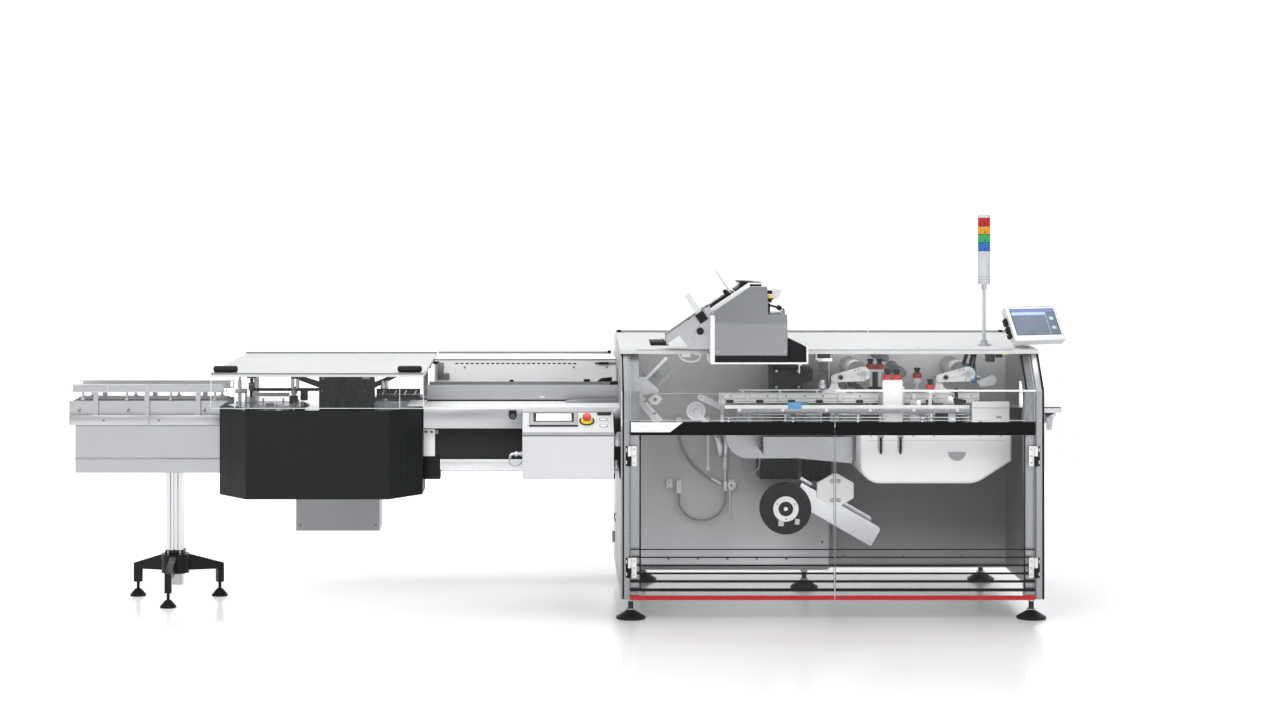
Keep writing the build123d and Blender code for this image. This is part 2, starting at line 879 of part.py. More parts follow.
yaw = math.radians(panel_yaw)
tilt = math.radians(panel_tilt)
panel_plane = Plane(
    origin=(panel_x, front_y + panel_depth, panel_z),
    x_dir=(math.cos(yaw), math.sin(yaw), 0),
    z_dir=(math.sin(yaw) * math.cos(tilt), -math.cos(yaw) * math.cos(tilt), math.sin(tilt)),
)
with BuildPart() as operator_panel:
    with BuildSketch(panel_plane.offset(-panel_thickness)) as panel_outline:
        RectangleRounded(panel_width, panel_height, 10)
    extrude(panel_outline.sketch, amount=panel_thickness)
    rod(
        (panel_post_x, panel_post_y, panel_post_top + seat_gap),
        (panel_post_x, panel_post_y, panel_post_top + 44),
        panel_post_radius,
    )
    neck_end = panel_plane.offset(-panel_thickness / 2).origin
    rod((panel_post_x, panel_post_y, panel_post_top + 26), tuple(neck_end), 14)
    rod(
        (panel_post_x, panel_post_y, panel_post_top),
        (panel_post_x, panel_post_y, panel_post_top + 36),
        panel_pin_radius + running_gap,
        Mode.SUBTRACT,
    )
operator_panel.part.label = "operator_panel"
export_step(operator_panel.part, "parts/operator_panel.step")

# Parallel arms: each turns on a fixed shaft and carries the guide bar
arm_y = deep(arm_depth, arm_depth + arm_thickness)
bar_y = deep(bar_depth, bar_depth + bar_thickness)


def lift_arm(root_x):
    """Add a tapering arm with a round root and tip and the bores for its pins."""
    root = (root_x, shaft_z)
    tip = (root_x + pivot_offset_x, shaft_z + pivot_offset_z)
    plane = Plane(origin=(0, arm_y[1], 0), x_dir=(1, 0, 0), z_dir=(0, -1, 0))
    with BuildSketch(plane) as outline:
        with Locations(root):
            Circle(arm_root_radius)
        with Locations(tip):
            Circle(arm_tip_radius)
        make_hull()
        with Locations(root):
            Circle(shaft_pin_radius + running_gap, mode=Mode.SUBTRACT)
        with Locations(tip):
            Circle(pivot_pin_radius + running_gap, mode=Mode.SUBTRACT)
    extrude(outline.sketch, amount=arm_thickness)


with BuildPart() as lift_arm_left:
    lift_arm(shaft_x)
lift_arm_left.part.label = "lift_arm_left"
export_step(lift_arm_left.part, "parts/lift_arm_left.step")

with BuildPart() as lift_arm_right:
    lift_arm(shaft_x + arm_pitch)
lift_arm_right.part.label = "lift_arm_right"
export_step(lift_arm_right.part, "parts/lift_arm_right.step")

# Guide bar with the two uprights whose pins ride in the arms
upright_front = arm_y[1] + moving_gap
upright_thickness = 10
pin_front = arm_y[0] - 4
with BuildPart() as guide_bar:
    block((bar_left, bar_right), bar_y, (bar_bottom, bar_top))
    for root_x in (shaft_x, shaft_x + arm_pitch):
        pivot_x = root_x + pivot_offset_x
        pivot_z = shaft_z + pivot_offset_z
        front_plate(
            [
                (pivot_x - 62, bar_top),
                (pivot_x - 20, bar_top + 28),
                (pivot_x - 13, pivot_z),
                (pivot_x + 13, pivot_z),
                (pivot_x + 20, bar_top + 28),
                (pivot_x + 62, bar_top),
            ],
            (upright_front, upright_front + upright_thickness),
        )
        rod(
            (pivot_x, upright_front + upright_thickness, pivot_z),
            (pivot_x, upright_front, pivot_z),
            arm_tip_radius - 4,
        )
        rod((pivot_x, upright_front, pivot_z), (pivot_x, pin_front, pivot_z), pivot_pin_radius)
guide_bar.part.label = "guide_bar"
export_step(guide_bar.part, "parts/guide_bar.step")

# Drives on the back walls: the arms' shafts, the reel's axle and the gearboxes
reel_boss_front = reel_depth + reel_width + moving_gap
gearboxes = (
    (708, 897, 660, (587, 680)),
    (941, 1064, 690, (574, 674)),
    (772, 926, 700, (1011, 1151)),
    (926, 976, 720, (1066, 1130)),
)
with BuildPart() as wall_drives:
    for root_x in (shaft_x, shaft_x + arm_pitch):
        rod(
            (root_x, front_y + right_wall_depth, shaft_z),
            (root_x, front_y + drum_front_depth, shaft_z),
            drum_radius,
        )
        rod(
            (root_x, front_y + drum_front_depth, shaft_z),
            (root_x, arm_y[1] + moving_gap, shaft_z),
            shaft_radius,
        )
        rod((root_x, arm_y[1] + moving_gap, shaft_z), (root_x, pin_front, shaft_z), shaft_pin_radius)
    rod((reel_x, front_y + left_wall_depth, reel_z), (reel_x, front_y + reel_boss_front, reel_z), 30)
    rod(
        (reel_x, front_y + reel_boss_front, reel_z),
        (reel_x, front_y + reel_depth + 6, reel_z),
        reel_axle_radius,
    )
    for left, right, front_depth, gearbox_z in gearboxes:
        gearbox_x = (cabinet_left + left, cabinet_left + right)
        block(gearbox_x, deep(front_depth, left_wall_depth), gearbox_z)
wall_drives.part.label = "wall_drives"
export_step(wall_drives.part, "parts/wall_drives.step")

# Reel: a black wheel with a raised ring and a tab, turning on its axle
with BuildPart() as reel:
    reel_plane = Plane(origin=(reel_x, front_y + reel_depth + reel_width, reel_z), z_dir=(0, -1, 0))
    with BuildSketch(reel_plane) as reel_disc:
        Circle(reel_radius)
        Circle(reel_axle_radius + running_gap, mode=Mode.SUBTRACT)
    extrude(reel_disc.sketch, amount=reel_width - 10)
    with BuildSketch(reel_plane.offset(reel_width - 10)) as reel_ring:
        Circle(reel_ring_outer)
        Circle(reel_ring_inner, mode=Mode.SUBTRACT)
    extrude(reel_ring.sketch, amount=6)
reel.part.label = "reel"
export_step(reel.part, "parts/reel.step")

# Product pusher: crank disc with its arm, a rocker, and the guide plates on the left wall
crank_x = cabinet_left + 385
crank_z = 934
crank_radius = 47
crank_front_depth = 562
crank_ring = (21, 16)
crank_axle_radius = 12
crank_arm_tip = (crank_x + 75, crank_z - 84)
rocker_pivot = (cabinet_left + 505, 958)
rocker_tip = (cabinet_left + 406, 1004)
rocker_radius = 15
rocker_axle_radius = 10
linkage_sheet = 10
guide_plate_depths = (488, 494)
slide_plate_depths = (440, 446)
wall_inner_x = cabinet_left + wall_sheet


def link_bar(start, end, radius, front_depth):
    """Add a flat bar with two round ends, one sheet thick, behind a depth."""
    plane = Plane(origin=(0, front_y + front_depth + linkage_sheet, 0), x_dir=(1, 0, 0), z_dir=(0, -1, 0))
    with BuildSketch(plane) as outline:
        for centre in (start, end):
            with Locations(centre):
                Circle(radius)
        make_hull()
    extrude(outline.sketch, amount=linkage_sheet)


with BuildPart() as pusher_linkage:
    crank_y = front_y + crank_front_depth
    link_bar((crank_x, crank_z), crank_arm_tip, crank_axle_radius, crank_front_depth - 14)
    with BuildSketch(Plane(origin=(0, crank_y, 0), x_dir=(1, 0, 0), z_dir=(0, -1, 0))) as ring_section:
        with Locations((crank_x, crank_z)):
            Circle(crank_ring[0])
            Circle(crank_ring[1], mode=Mode.SUBTRACT)
    extrude(ring_section.sketch, amount=4)
    rod((crank_x, crank_y + linkage_sheet, crank_z), (crank_x, crank_y, crank_z), crank_radius)
    rod((crank_x, front_y + left_wall_depth, crank_z), (crank_x, crank_y - 8, crank_z), crank_axle_radius)
    link_bar(rocker_tip, rocker_pivot, rocker_radius, crank_front_depth - 27)
    rod(
        (rocker_pivot[0], front_y + left_wall_depth, rocker_pivot[1]),
        (rocker_pivot[0], crank_y - 27, rocker_pivot[1]),
        rocker_axle_radius,
    )
    front_plate(
        [
            (wall_inner_x, 1107),
            (wall_inner_x + 126, 1107),
            (wall_inner_x + 196, 1045),
            (wall_inner_x + 192, 1030),
            (wall_inner_x, 1000),
        ],
        deep(*guide_plate_depths),
    )
    front_plate(
        [
            (wall_inner_x + 104, 1080),
            (wall_inner_x + 116, 1072),
            (wall_inner_x + 240, 1198),
            (wall_inner_x + 228, 1206),
        ],
        deep(*guide_plate_depths),
    )
    front_plate(
        [
            (wall_inner_x, 1148),
            (wall_inner_x + 212, 903),
            (wall_inner_x + 180, 876),
            (wall_inner_x, 1096),
        ],
        deep(*slide_plate_depths),
    )
    rod(
        (wall_inner_x + 80, front_y + slide_plate_depths[0], 1030),
        (wall_inner_x + 80, front_y + guide_plate_depths[1], 1030),
        6,
    )
pusher_linkage.part.label = "pusher_linkage"
export_step(pusher_linkage.part, "parts/pusher_linkage.step")

# Air pieces on the left back wall: connector, elbow, hanging valve, D-shaped wheel, ball rod
air_wall_y = front_y + left_wall_depth
elbow_x = cabinet_left + 317
elbow_z = (492, 557)
air_line_x = cabinet_left + 550
receiver_half = 8
receiver_z = (505, 555)
wheel_x = cabinet_left + 570
wheel_z = 532
wheel_radius_d = 27
high_fitting_x = cabinet_left + 317
high_fitting_z = (845, 872)
hose_depth = 870
drain_radius = 4
ball_rod_x = cabinet_left + 459
ball_rod_depth = 800
ball_z = 622
hanger_depth = 870
hanger_z = (800, 850)


def wall_block(x, z, reach):
    """Add a block that stands out from the left back wall."""
    block(x, (air_wall_y - reach, air_wall_y), z)


with BuildPart() as air_fittings:
    wall_block((cabinet_left + 253, cabinet_left + 284), (519, 555), 25)
    wall_block((elbow_x - 12, elbow_x + 12), elbow_z, air_wall_y - front_y - hose_depth + 12)
    wall_block((air_line_x - receiver_half, air_line_x + receiver_half), receiver_z, 55)
    with BuildSketch(Plane(origin=(0, air_wall_y, 0), x_dir=(1, 0, 0), z_dir=(0, -1, 0))) as wheel_section:
        with Locations((wheel_x + 10, wheel_z)):
            Circle(wheel_radius_d)
        with Locations((wheel_x - 20, wheel_z)):
            Rectangle(36, 80, mode=Mode.SUBTRACT)
    extrude(wheel_section.sketch, amount=30)
    rod((wheel_x + 4, air_wall_y - 15, wheel_z - 20), (wheel_x + 6, air_wall_y - 15, 362), drain_radius)
    wall_block((high_fitting_x - 13, high_fitting_x + 13), high_fitting_z, 45)
    wall_block((ball_rod_x - 8, ball_rod_x + 8), (862, 880), air_wall_y - front_y - ball_rod_depth + 8)
    ball_rod_y = front_y + ball_rod_depth
    rod((ball_rod_x, ball_rod_y, ball_z), (ball_rod_x, ball_rod_y, 862), 4.5)
    with Locations((ball_rod_x, ball_rod_y, ball_z)):
        Sphere(11)
    wall_block((air_line_x - 12, air_line_x + 12), hanger_z, air_wall_y - front_y - hanger_depth + 12)
    hanger_y = front_y + hanger_depth
    hanging_line = ((hanger_z[0], 672, 7), (672, 616, 12.5), (616, receiver_z[1], 4.5))
    for high, low, radius in hanging_line:
        rod((air_line_x, hanger_y, high), (air_line_x, hanger_y, low), radius)
air_fittings.part.label = "air_fittings"
export_step(air_fittings.part, "parts/air_fittings.step")

# Air hoses, each held at both ends: straight runs joined by arcs as wide as they allow
arc_share = 0.45


def hose(points, radius, depth):
    """Add a hose through corner points, seen from the front, at one depth."""
    corners = [Vector(x, front_y + depth, z) for x, z in points]
    with BuildLine() as path:
        start = corners[0]
        for before, corner, after in zip(corners, corners[1:], corners[2:]):
            inward = (corner - before).normalized()
            outward = (after - corner).normalized()
            half_turn = math.radians(inward.get_angle(outward)) / 2
            reach = arc_share * min((corner - before).length, (after - corner).length)
            arc_start = corner - inward * reach
            arc_end = corner + outward * reach
            Line(start, arc_start)
            middle = corner + (outward - inward).normalized() * reach * math.tan(half_turn / 2)
            ThreePointArc(arc_start, middle, arc_end)
            start = arc_end
        Line(start, corners[-1])
    with BuildSketch(Plane(origin=corners[0], z_dir=corners[1] - corners[0])) as section:
        Circle(radius)
    sweep(sections=section.sketch, path=path.line)


loop_x = elbow_x
low_loop = [
    (loop_x, elbow_z[0]),
    (loop_x, 428),
    (loop_x + 45, 370),
    (loop_x + 118, 350),
    (loop_x + 188, 372),
    (air_line_x, 430),
    (air_line_x, receiver_z[0]),
]
high_arc = [
    (high_fitting_x, high_fitting_z[0]),
    (high_fitting_x, 778),
    (high_fitting_x + 20, 712),
    (high_fitting_x + 54, 652),
    (high_fitting_x + 102, 602),
    (high_fitting_x + 155, 562),
    (high_fitting_x + 194, 545),
    (air_line_x - receiver_half, 545),
]
small_loop_x = (trough_left - 86, trough_left + 3)
small_loop_z = 665
small_y = front_y + trough_rear_depth + end_plate_sheet / 2
with BuildPart() as air_hoses:
    hose(low_loop, 6, hose_depth)
    hose(high_arc, 6.5, hose_depth + 15)
    with BuildLine() as small_path:
        Line((small_loop_x[0], small_y, end_plate_bottom), (small_loop_x[0], small_y, small_loop_z))
        ThreePointArc(
            (small_loop_x[0], small_y, small_loop_z),
            (sum(small_loop_x) / 2, small_y, small_loop_z - (small_loop_x[1] - small_loop_x[0]) / 2),
            (small_loop_x[1], small_y, small_loop_z),
        )
        Line((small_loop_x[1], small_y, small_loop_z), (small_loop_x[1], small_y, end_plate_bottom))
    small_start = (small_loop_x[0], small_y, end_plate_bottom)
    with BuildSketch(Plane(origin=small_start, z_dir=(0, 0, -1))) as small_section:
        Circle(4)
    sweep(sections=small_section.sketch, path=small_path.line)
air_hoses.part.label = "air_hoses"
export_step(air_hoses.part, "parts/air_hoses.step")

# Carton track: a bed on brackets from the back walls, with its rails
bracket_places = (
    (cabinet_left + 744, left_wall_depth),
    (cabinet_left + 944, left_wall_depth),
    (cabinet_left + 1344, right_wall_depth),
    (cabinet_left + 1700, right_wall_depth),
)
bracket_drop = 100
lane_rail_depths = (280, 470, 600)
rail_width = 12
rail_lift = 42
rail_height = 20
rail_foot_pitch = 210
with BuildPart() as carton_track:
    block((track_left, track_right), deep(track_front, track_rear), (track_bottom, track_top))
    for bracket_x, wall_depth in bracket_places:
        side_plate(
            [
                (front_y + track_rear, track_bottom),
                (front_y + tray_rear + moving_gap, track_bottom),
                (front_y + wall_depth, track_bottom - bracket_drop),
                (front_y + wall_depth, track_top),
                (front_y + track_rear, track_top),
            ],
            (bracket_x - 6, bracket_x + 6),
        )
    for rail_at in lane_rail_depths:
        rail_y = deep(rail_at - rail_width / 2, rail_at + rail_width / 2)
        rail_z = track_top + rail_lift
        block((track_left + 60, track_right - 40), rail_y, (rail_z, rail_z + rail_height))
        for foot_x in range(int(track_left) + 120, int(track_right) - 80, rail_foot_pitch):
            block((foot_x - 8, foot_x + 8), rail_y, (track_top, rail_z))
carton_track.part.label = "carton_track"
export_step(carton_track.part, "parts/carton_track.step")

# Format adjusters: posts on the track, their bases, and the knobs with waisted tops
box_post_x = (cabinet_left + 1273, cabinet_left + 1366)
box_post_depths = (305, 360)
box_post_top = 1103
tall_post_depth = 520
pair_x = (cabinet_left + 1239, cabinet_left + 1283)
pair_bar_z = (1131, 1141)
cup_x = cabinet_left + 1468
cup_z = (1077, 1097)
low_post_x = cabinet_left + 1506
low_post_depth = 350
low_base_z = (1040, 1054)
with BuildPart() as adjuster_posts:
    block(box_post_x, deep(*box_post_depths), (track_top, box_post_top))
    pair_y = front_y + tall_post_depth
    for post_x in pair_x:
        rod((post_x, pair_y, track_top), (post_x, pair_y, pair_bar_z[0]), 9.5)
    block((pair_x[0] - 22, pair_x[1] + 22), (pair_y - 22, pair_y + 22), pair_bar_z)
    rod((cup_x, pair_y, track_top), (cup_x, pair_y, cup_z[0]), 8)
    rod((cup_x, pair_y, cup_z[0]), (cup_x, pair_y, cup_z[1]), 22)
    low_y = front_y + low_post_depth
    rod((low_post_x, low_y, track_top), (low_post_x, low_y, low_base_z[0]), 9.5)
    rod((low_post_x, low_y, low_base_z[0]), (low_post_x, low_y, low_base_z[1]), 20)
adjuster_posts.part.label = "adjuster_posts"
export_step(adjuster_posts.part, "parts/adjuster_posts.step")

box_knob_depth = (box_post_depths[0] + box_post_depths[1]) / 2
knob_places = (
    (pair_x[0], tall_post_depth, pair_bar_z[1]),
    (pair_x[1], tall_post_depth, pair_bar_z[1]),
    (box_post_x[0] + 23, box_knob_depth, box_post_top),
    (box_post_x[1] - 23, box_knob_depth, box_post_top),
    (cup_x, tall_post_depth, cup_z[1]),
    (low_post_x, low_post_depth, low_base_z[1]),
)
waist_radius = 10.5
with BuildPart() as adjuster_knobs:
    with BuildSketch(Plane.XZ) as knob_profile:
        Polygon(
            (0, 0),
            (knob_radius - 2.5, 0),
            (knob_radius, 3),
            (knob_radius, knob_body_height - 3),
            (knob_radius - 2.5, knob_body_height),
            (waist_radius + 1.5, knob_body_height),
            (waist_radius, knob_body_height + 9),
            (knob_radius - 4, knob_height - 2),
            (knob_radius - 5.5, knob_height),
            (0, knob_height),
            align=None,
        )
    knob_turned = revolve(knob_profile.sketch, Axis.Z, mode=Mode.PRIVATE)
    with Locations(*[(x, front_y + depth, z) for x, depth, z in knob_places]):
        add(knob_turned)
adjuster_knobs.part.label = "adjuster_knobs"
export_step(adjuster_knobs.part, "parts/adjuster_knobs.step")

# White cover of the closing unit under the track, with its rising right end
tray_end_z = 727
tray_heel_from_right = 170
tray_heel_radius = 130
tray_edge = 14
with BuildPart() as closing_cover:
    plane = Plane(origin=(0, front_y + tray_rear, 0), x_dir=(1, 0, 0), z_dir=(0, -1, 0))
    with BuildSketch(plane) as tray_outline:
        Polygon(
            (tray_left, tray_top),
            (tray_left, tray_bottom),
            (tray_right - tray_heel_from_right, tray_bottom),
            (tray_right, tray_end_z),
            (tray_right, tray_top),
            align=None,
        )
        lower_corners = tray_outline.vertices().sort_by(Axis.Y)[:2].sort_by(Axis.X)
        fillet(lower_corners[0], tray_corner)
        heel = tray_outline.vertices().filter_by_position(
            Axis.X, tray_right - tray_heel_from_right - 1, tray_right - tray_heel_from_right + 1
        )
        fillet(heel, tray_heel_radius)
    extrude(tray_outline.sketch, amount=tray_rear - tray_front)
    front_edges = closing_cover.faces().sort_by(Axis.Y)[0].edges()
    lower_edges = front_edges.filter_by(lambda edge: edge.center().Z < tray_top - 1)
    fillet(lower_edges, tray_edge)
    block(
        (tray_right - tray_box_width - 10, tray_right - 10),
        deep(tray_front + tray_edge, track_front - 10),
        (tray_top, tray_box_top),
    )
    block(
        (tray_left + 100, tray_right - 100),
        deep(tray_rear, right_wall_depth),
        (tray_bottom + 60, tray_bottom + 160),
    )
closing_cover.part.label = "closing_cover"
export_step(closing_cover.part, "parts/closing_cover.step")

# Steel trough beside it, whose floor falls to the right, with its round-cornered end plate
trough_sheet = 4
trough_fall = (trough_left_z - trough_right_z) / trough_length
trough_bracket_x = (trough_left + 60, trough_left + 280)
end_plate_x = (trough_left - 166, trough_left + 172)
end_plate_z = (end_plate_bottom, 872)
end_plate_corner = 115


def trough_sheet_band(low, high, y):
    """Add a band of the trough between heights over its floor, or up to its rim."""
    top_left = trough_left_z + high if high else trough_top
    top_right = trough_right_z + high if high else trough_top
    front_plate(
        [
            (trough_left, trough_left_z + low),
            (trough_right, trough_right_z + low),
            (trough_right, top_right),
            (trough_left, top_left),
        ],
        y,
    )


with BuildPart() as steel_trough:
    trough_y = deep(trough_front_depth, trough_rear_depth)
    trough_sheet_band(0, trough_sheet, trough_y)
    trough_sheet_band(0, None, (trough_y[0], trough_y[0] + trough_sheet))
    trough_sheet_band(0, None, (trough_y[1] - trough_sheet, trough_y[1]))
    end_plate_y = (trough_y[1], trough_y[1] + end_plate_sheet)
    with BuildSketch(Plane(origin=(0, end_plate_y[1], 0), x_dir=(1, 0, 0), z_dir=(0, -1, 0))) as end_plate:
        with Locations((end_plate_x[0], end_plate_z[0])):
            Rectangle(
                end_plate_x[1] - end_plate_x[0],
                end_plate_z[1] - end_plate_z[0],
                align=(Align.MIN, Align.MIN),
            )
        fillet(end_plate.vertices().sort_by(Axis.Y)[:2].sort_by(Axis.X)[0], end_plate_corner)
    extrude(end_plate.sketch, amount=end_plate_sheet)
    for bracket_x in trough_bracket_x:
        bracket_z = trough_left_z - trough_fall * (bracket_x - trough_left)
        bracket_y = deep(trough_rear_depth, left_wall_depth)
        block((bracket_x, bracket_x + 30), bracket_y, (bracket_z, bracket_z + 60))
steel_trough.part.label = "steel_trough"
export_step(steel_trough.part, "parts/steel_trough.step")

# Reject chute: a folded channel that falls to the right, with a longer rear lip
chute_depths = (520, 640)
chute_y = deep(*chute_depths)
chute_x = cabinet_left + chute_from_left
chute_corner = 20
lip_setback = 42
chute_tie_run = 150


def chute_wall(length, height, corner, y):
    """Add a wall of the chute that stands on its floor and ends in a round corner."""
    angle = math.radians(chute_angle)
    plane = Plane(
        origin=(chute_x, y[1], chute_z),
        x_dir=(math.cos(angle), 0, -math.sin(angle)),
        z_dir=(0, -1, 0),
    )
    with BuildSketch(plane) as outline:
        Rectangle(length, height, align=(Align.MIN, Align.MIN))
        if corner:
            fillet(outline.vertices().sort_by(Axis.X)[-2:].sort_by(Axis.Y)[-1], corner)
    extrude(outline.sketch, amount=y[1] - y[0])


with BuildPart() as reject_chute:
    chute_wall(chute_length, chute_sheet, 0, chute_y)
    chute_wall(chute_length, chute_wide, chute_corner, (chute_y[0], chute_y[0] + chute_sheet))
    rear_wall_y = (chute_y[1] - chute_sheet, chute_y[1])
    chute_wall(chute_length - lip_setback, chute_wide + chute_lip, chute_corner, rear_wall_y)
    tie_x = chute_x + chute_tie_run * math.cos(math.radians(chute_angle))
    tie_z = chute_z - chute_tie_run * math.sin(math.radians(chute_angle)) + chute_wide / 2
    block((tie_x - 20, tie_x + 20), (chute_y[1], front_y + left_wall_depth), (tie_z - 15, tie_z + 15))
reject_chute.part.label = "reject_chute"
export_step(reject_chute.part, "parts/reject_chute.step")

# Six-sided plate bolted to the chute's front side
plate_x = cabinet_left + plate_from_left
with BuildPart() as bearing_plate:
    plate_plane = Plane(origin=(plate_x, chute_y[0], plate_z), x_dir=(1, 0, 0), z_dir=(0, -1, 0))
    with BuildSketch(plate_plane) as plate_outline:
        Polygon(
            (-plate_half_width, -plate_side / 2),
            (0, -plate_apex),
            (plate_half_width, -plate_side / 2),
            (plate_half_width, plate_side / 2),
            (0, plate_apex),
            (-plate_half_width, plate_side / 2),
            align=None,
        )
        apexes = plate_outline.vertices().filter_by_position(Axis.X, -1, 1)
        fillet(apexes, 40)
    extrude(plate_outline.sketch, amount=plate_thickness)
bearing_plate.part.label = "bearing_plate"
export_step(bearing_plate.part, "parts/bearing_plate.step")

# Outfeed: the belt's end through the right wall, its bracket and clear tunnel
outfeed_y = deep(outfeed_depth, outfeed_depth + outfeed_width)
with BuildPart() as outfeed_conveyor:
    block((track_right + 6, outfeed_right), outfeed_y, (outfeed_bottom, outfeed_top))
    for gusset_depth in (outfeed_depth + 20, outfeed_depth + outfeed_width - 26):
        front_plate(
            [
                (cabinet_right, outfeed_bottom),
                (cabinet_right, outfeed_bottom - 103),
                (outfeed_right - 23, outfeed_bottom - 20),
                (outfeed_right - 23, outfeed_bottom),
            ],
            deep(gusset_depth, gusset_depth + 6),
        )
outfeed_conveyor.part.label = "outfeed_conveyor"
export_step(outfeed_conveyor.part, "parts/outfeed_conveyor.step")

tunnel_y = deep(outfeed_depth - 60, outfeed_depth + outfeed_width + 60)
tunnel_side = [
    (cabinet_right, guard_bottom),
    (cabinet_right, guard_top),
    (machine_right, guard_top - 98),
    (machine_right, guard_bottom),
]
with BuildPart() as outfeed_guard:
    front_plate(tunnel_side, (tunnel_y[0], tunnel_y[0] + guard_sheet))
    front_plate(tunnel_side, (tunnel_y[1] - guard_sheet, tunnel_y[1]))
    front_plate(
        [
            (cabinet_right, guard_top),
            (machine_right, guard_top - 98),
            (machine_right, guard_top - 98 - guard_sheet),
            (cabinet_right, guard_top - guard_sheet),
        ],
        tunnel_y,
    )
outfeed_guard.part.label = "outfeed_guard"
export_step(outfeed_guard.part, "parts/outfeed_guard.step")

# Infeed station: frame block, deck, faceted skirt and the sump under it
frame_x = (station_left + skirt_sheet, station_right - skirt_sheet)


def skirt_outline(inset):
    """Plan outline of the skirt's faceted front, moved in by a wall."""
    corner = inset * math.tan(math.radians(26.7))
    return [
        (station_left + inset, front_y + skirt_rear_depth),
        (station_left + inset, front_y + skirt_chamfer_depth + corner),
        (station_x - skirt_half_front + corner, front_y + inset),
        (station_x + skirt_half_front - corner, front_y + inset),
        (station_right - inset, front_y + skirt_chamfer_depth + corner),
        (station_right - inset, front_y + skirt_rear_depth),
    ]


with BuildPart() as infeed_skirt:
    with BuildSketch(Plane.XY.offset(skirt_bottom)) as skirt_section:
        Polygon(*skirt_outline(0), align=None)
        Polygon(*skirt_outline(skirt_sheet), align=None, mode=Mode.SUBTRACT)
    extrude(skirt_section.sketch, amount=skirt_top - skirt_bottom)
infeed_skirt.part.label = "infeed_skirt"
export_step(infeed_skirt.part, "parts/infeed_skirt.step")

# Station frame: a block with its deck, and the bay in them for the chain's end
deck_top = deck_z + deck_thickness
chain_bay_gap = 10
chain_bay_x = (chain_left - chain_bay_gap, frame_x[1])
chain_bay_y = deep(channel_front_depth - chain_bay_gap, channel_rear_depth + chain_bay_gap)
chain_bay_z = (chain_bottom - 40, deck_top)
with BuildPart() as station_frame:
    frame_depths = (skirt_chamfer_depth + 6, channel_rear_depth + chain_bay_gap + 30)
    block(frame_x, deep(*frame_depths), (frame_floor_z, deck_z))
    block(frame_x, deep(skirt_chamfer_depth + 6, machine_depth - 40), (deck_z, deck_top))
    block(chain_bay_x, chain_bay_y, chain_bay_z, Mode.SUBTRACT)
station_frame.part.label = "station_frame"
export_step(station_frame.part, "parts/station_frame.step")

sump_x = (station_x - sump_left_reach, station_x + sump_right_reach)
with BuildPart() as steel_sump:
    block(sump_x, deep(*sump_depths), (sump_bottom, frame_floor_z))
steel_sump.part.label = "steel_sump"
export_step(steel_sump.part, "parts/steel_sump.step")

# Hood posts carry the fixed hinge rod at the rear
hood_axis_z = hood_top - hood_hinge_radius
hood_axis_y = rear_y
post_half = 14
post_places = (station_x - hood_half + 60, station_x, station_x + hood_half - 60)
with BuildPart() as hood_posts:
    for post_x in post_places:
        block(
            (post_x - post_half, post_x + post_half),
            deep(machine_depth - 80, machine_depth - 50),
            (deck_top, hood_axis_z - 30),
        )
        block(
            (post_x - post_half, post_x + post_half),
            deep(machine_depth - 80, machine_depth),
            (hood_axis_z - 30, hood_axis_z - 18),
        )
        block(
            (post_x - post_half, post_x + post_half),
            deep(machine_depth - 10, machine_depth + 10),
            (hood_axis_z - 18, hood_axis_z),
        )
        boss_ends = (post_x - post_half, post_x + post_half)
        rod((boss_ends[0], hood_axis_y, hood_axis_z), (boss_ends[1], hood_axis_y, hood_axis_z), 12)
    rod(
        (station_x - hood_half, hood_axis_y, hood_axis_z),
        (station_x + hood_half, hood_axis_y, hood_axis_z),
        hood_pin_radius,
    )
hood_posts.part.label = "hood_posts"
export_step(hood_posts.part, "parts/hood_posts.step")

# Hood: a folded white tray that swings up on the rod, with clear sheets below
hood_x = (station_x - hood_half, station_x + hood_half)
hood_rear_depth = machine_depth - 24
knuckle_spans = []
for left_post, right_post in zip(post_places, post_places[1:]):
    knuckle_spans.append((left_post + post_half + 1, right_post - post_half - 1))
with BuildPart() as infeed_hood:
    block(hood_x, deep(0, hood_rear_depth), (hood_top - hood_thickness, hood_top))
    block(
        (hood_x[0] + hood_sheet, hood_x[1] - hood_sheet),
        deep(hood_sheet, hood_rear_depth - hood_sheet),
        (hood_top - hood_thickness, hood_top - hood_sheet),
        Mode.SUBTRACT,
    )
    for span in knuckle_spans:
        block(
            span,
            deep(hood_rear_depth - hood_sheet, machine_depth),
            (hood_top - hood_sheet, hood_top),
        )
        rod(
            (span[0], hood_axis_y, hood_axis_z),
            (span[1], hood_axis_y, hood_axis_z),
            hood_hinge_radius,
        )
        rod(
            (span[0], hood_axis_y, hood_axis_z),
            (span[1], hood_axis_y, hood_axis_z),
            hood_pin_radius + running_gap,
            Mode.SUBTRACT,
        )
infeed_hood.part.label = "infeed_hood"
export_step(infeed_hood.part, "parts/infeed_hood.step")

hood_pane = 5
pane_top = hood_top - hood_thickness
pane_rear_depth = 900
pane_notch_depth = skirt_rear_depth - 30
pane_notch_z = channel_top + 20
with BuildPart() as hood_panes:
    block(
        (hood_x[0], hood_x[1]),
        deep(0, hood_pane),
        (hood_side_bottom, pane_top),
    )
    for edge in (hood_x[0], hood_x[1] - hood_pane):
        side_plate(
            [
                (front_y + hood_pane, hood_side_bottom),
                (front_y + hood_pane, pane_top),
                (front_y + pane_rear_depth, pane_top),
                (front_y + pane_rear_depth, pane_notch_z),
                (front_y + pane_notch_depth, pane_notch_z),
                (front_y + pane_notch_depth, hood_side_bottom),
            ],
            (edge, edge + hood_pane),
        )
hood_panes.part.label = "hood_panes"
export_step(hood_panes.part, "parts/hood_panes.step")

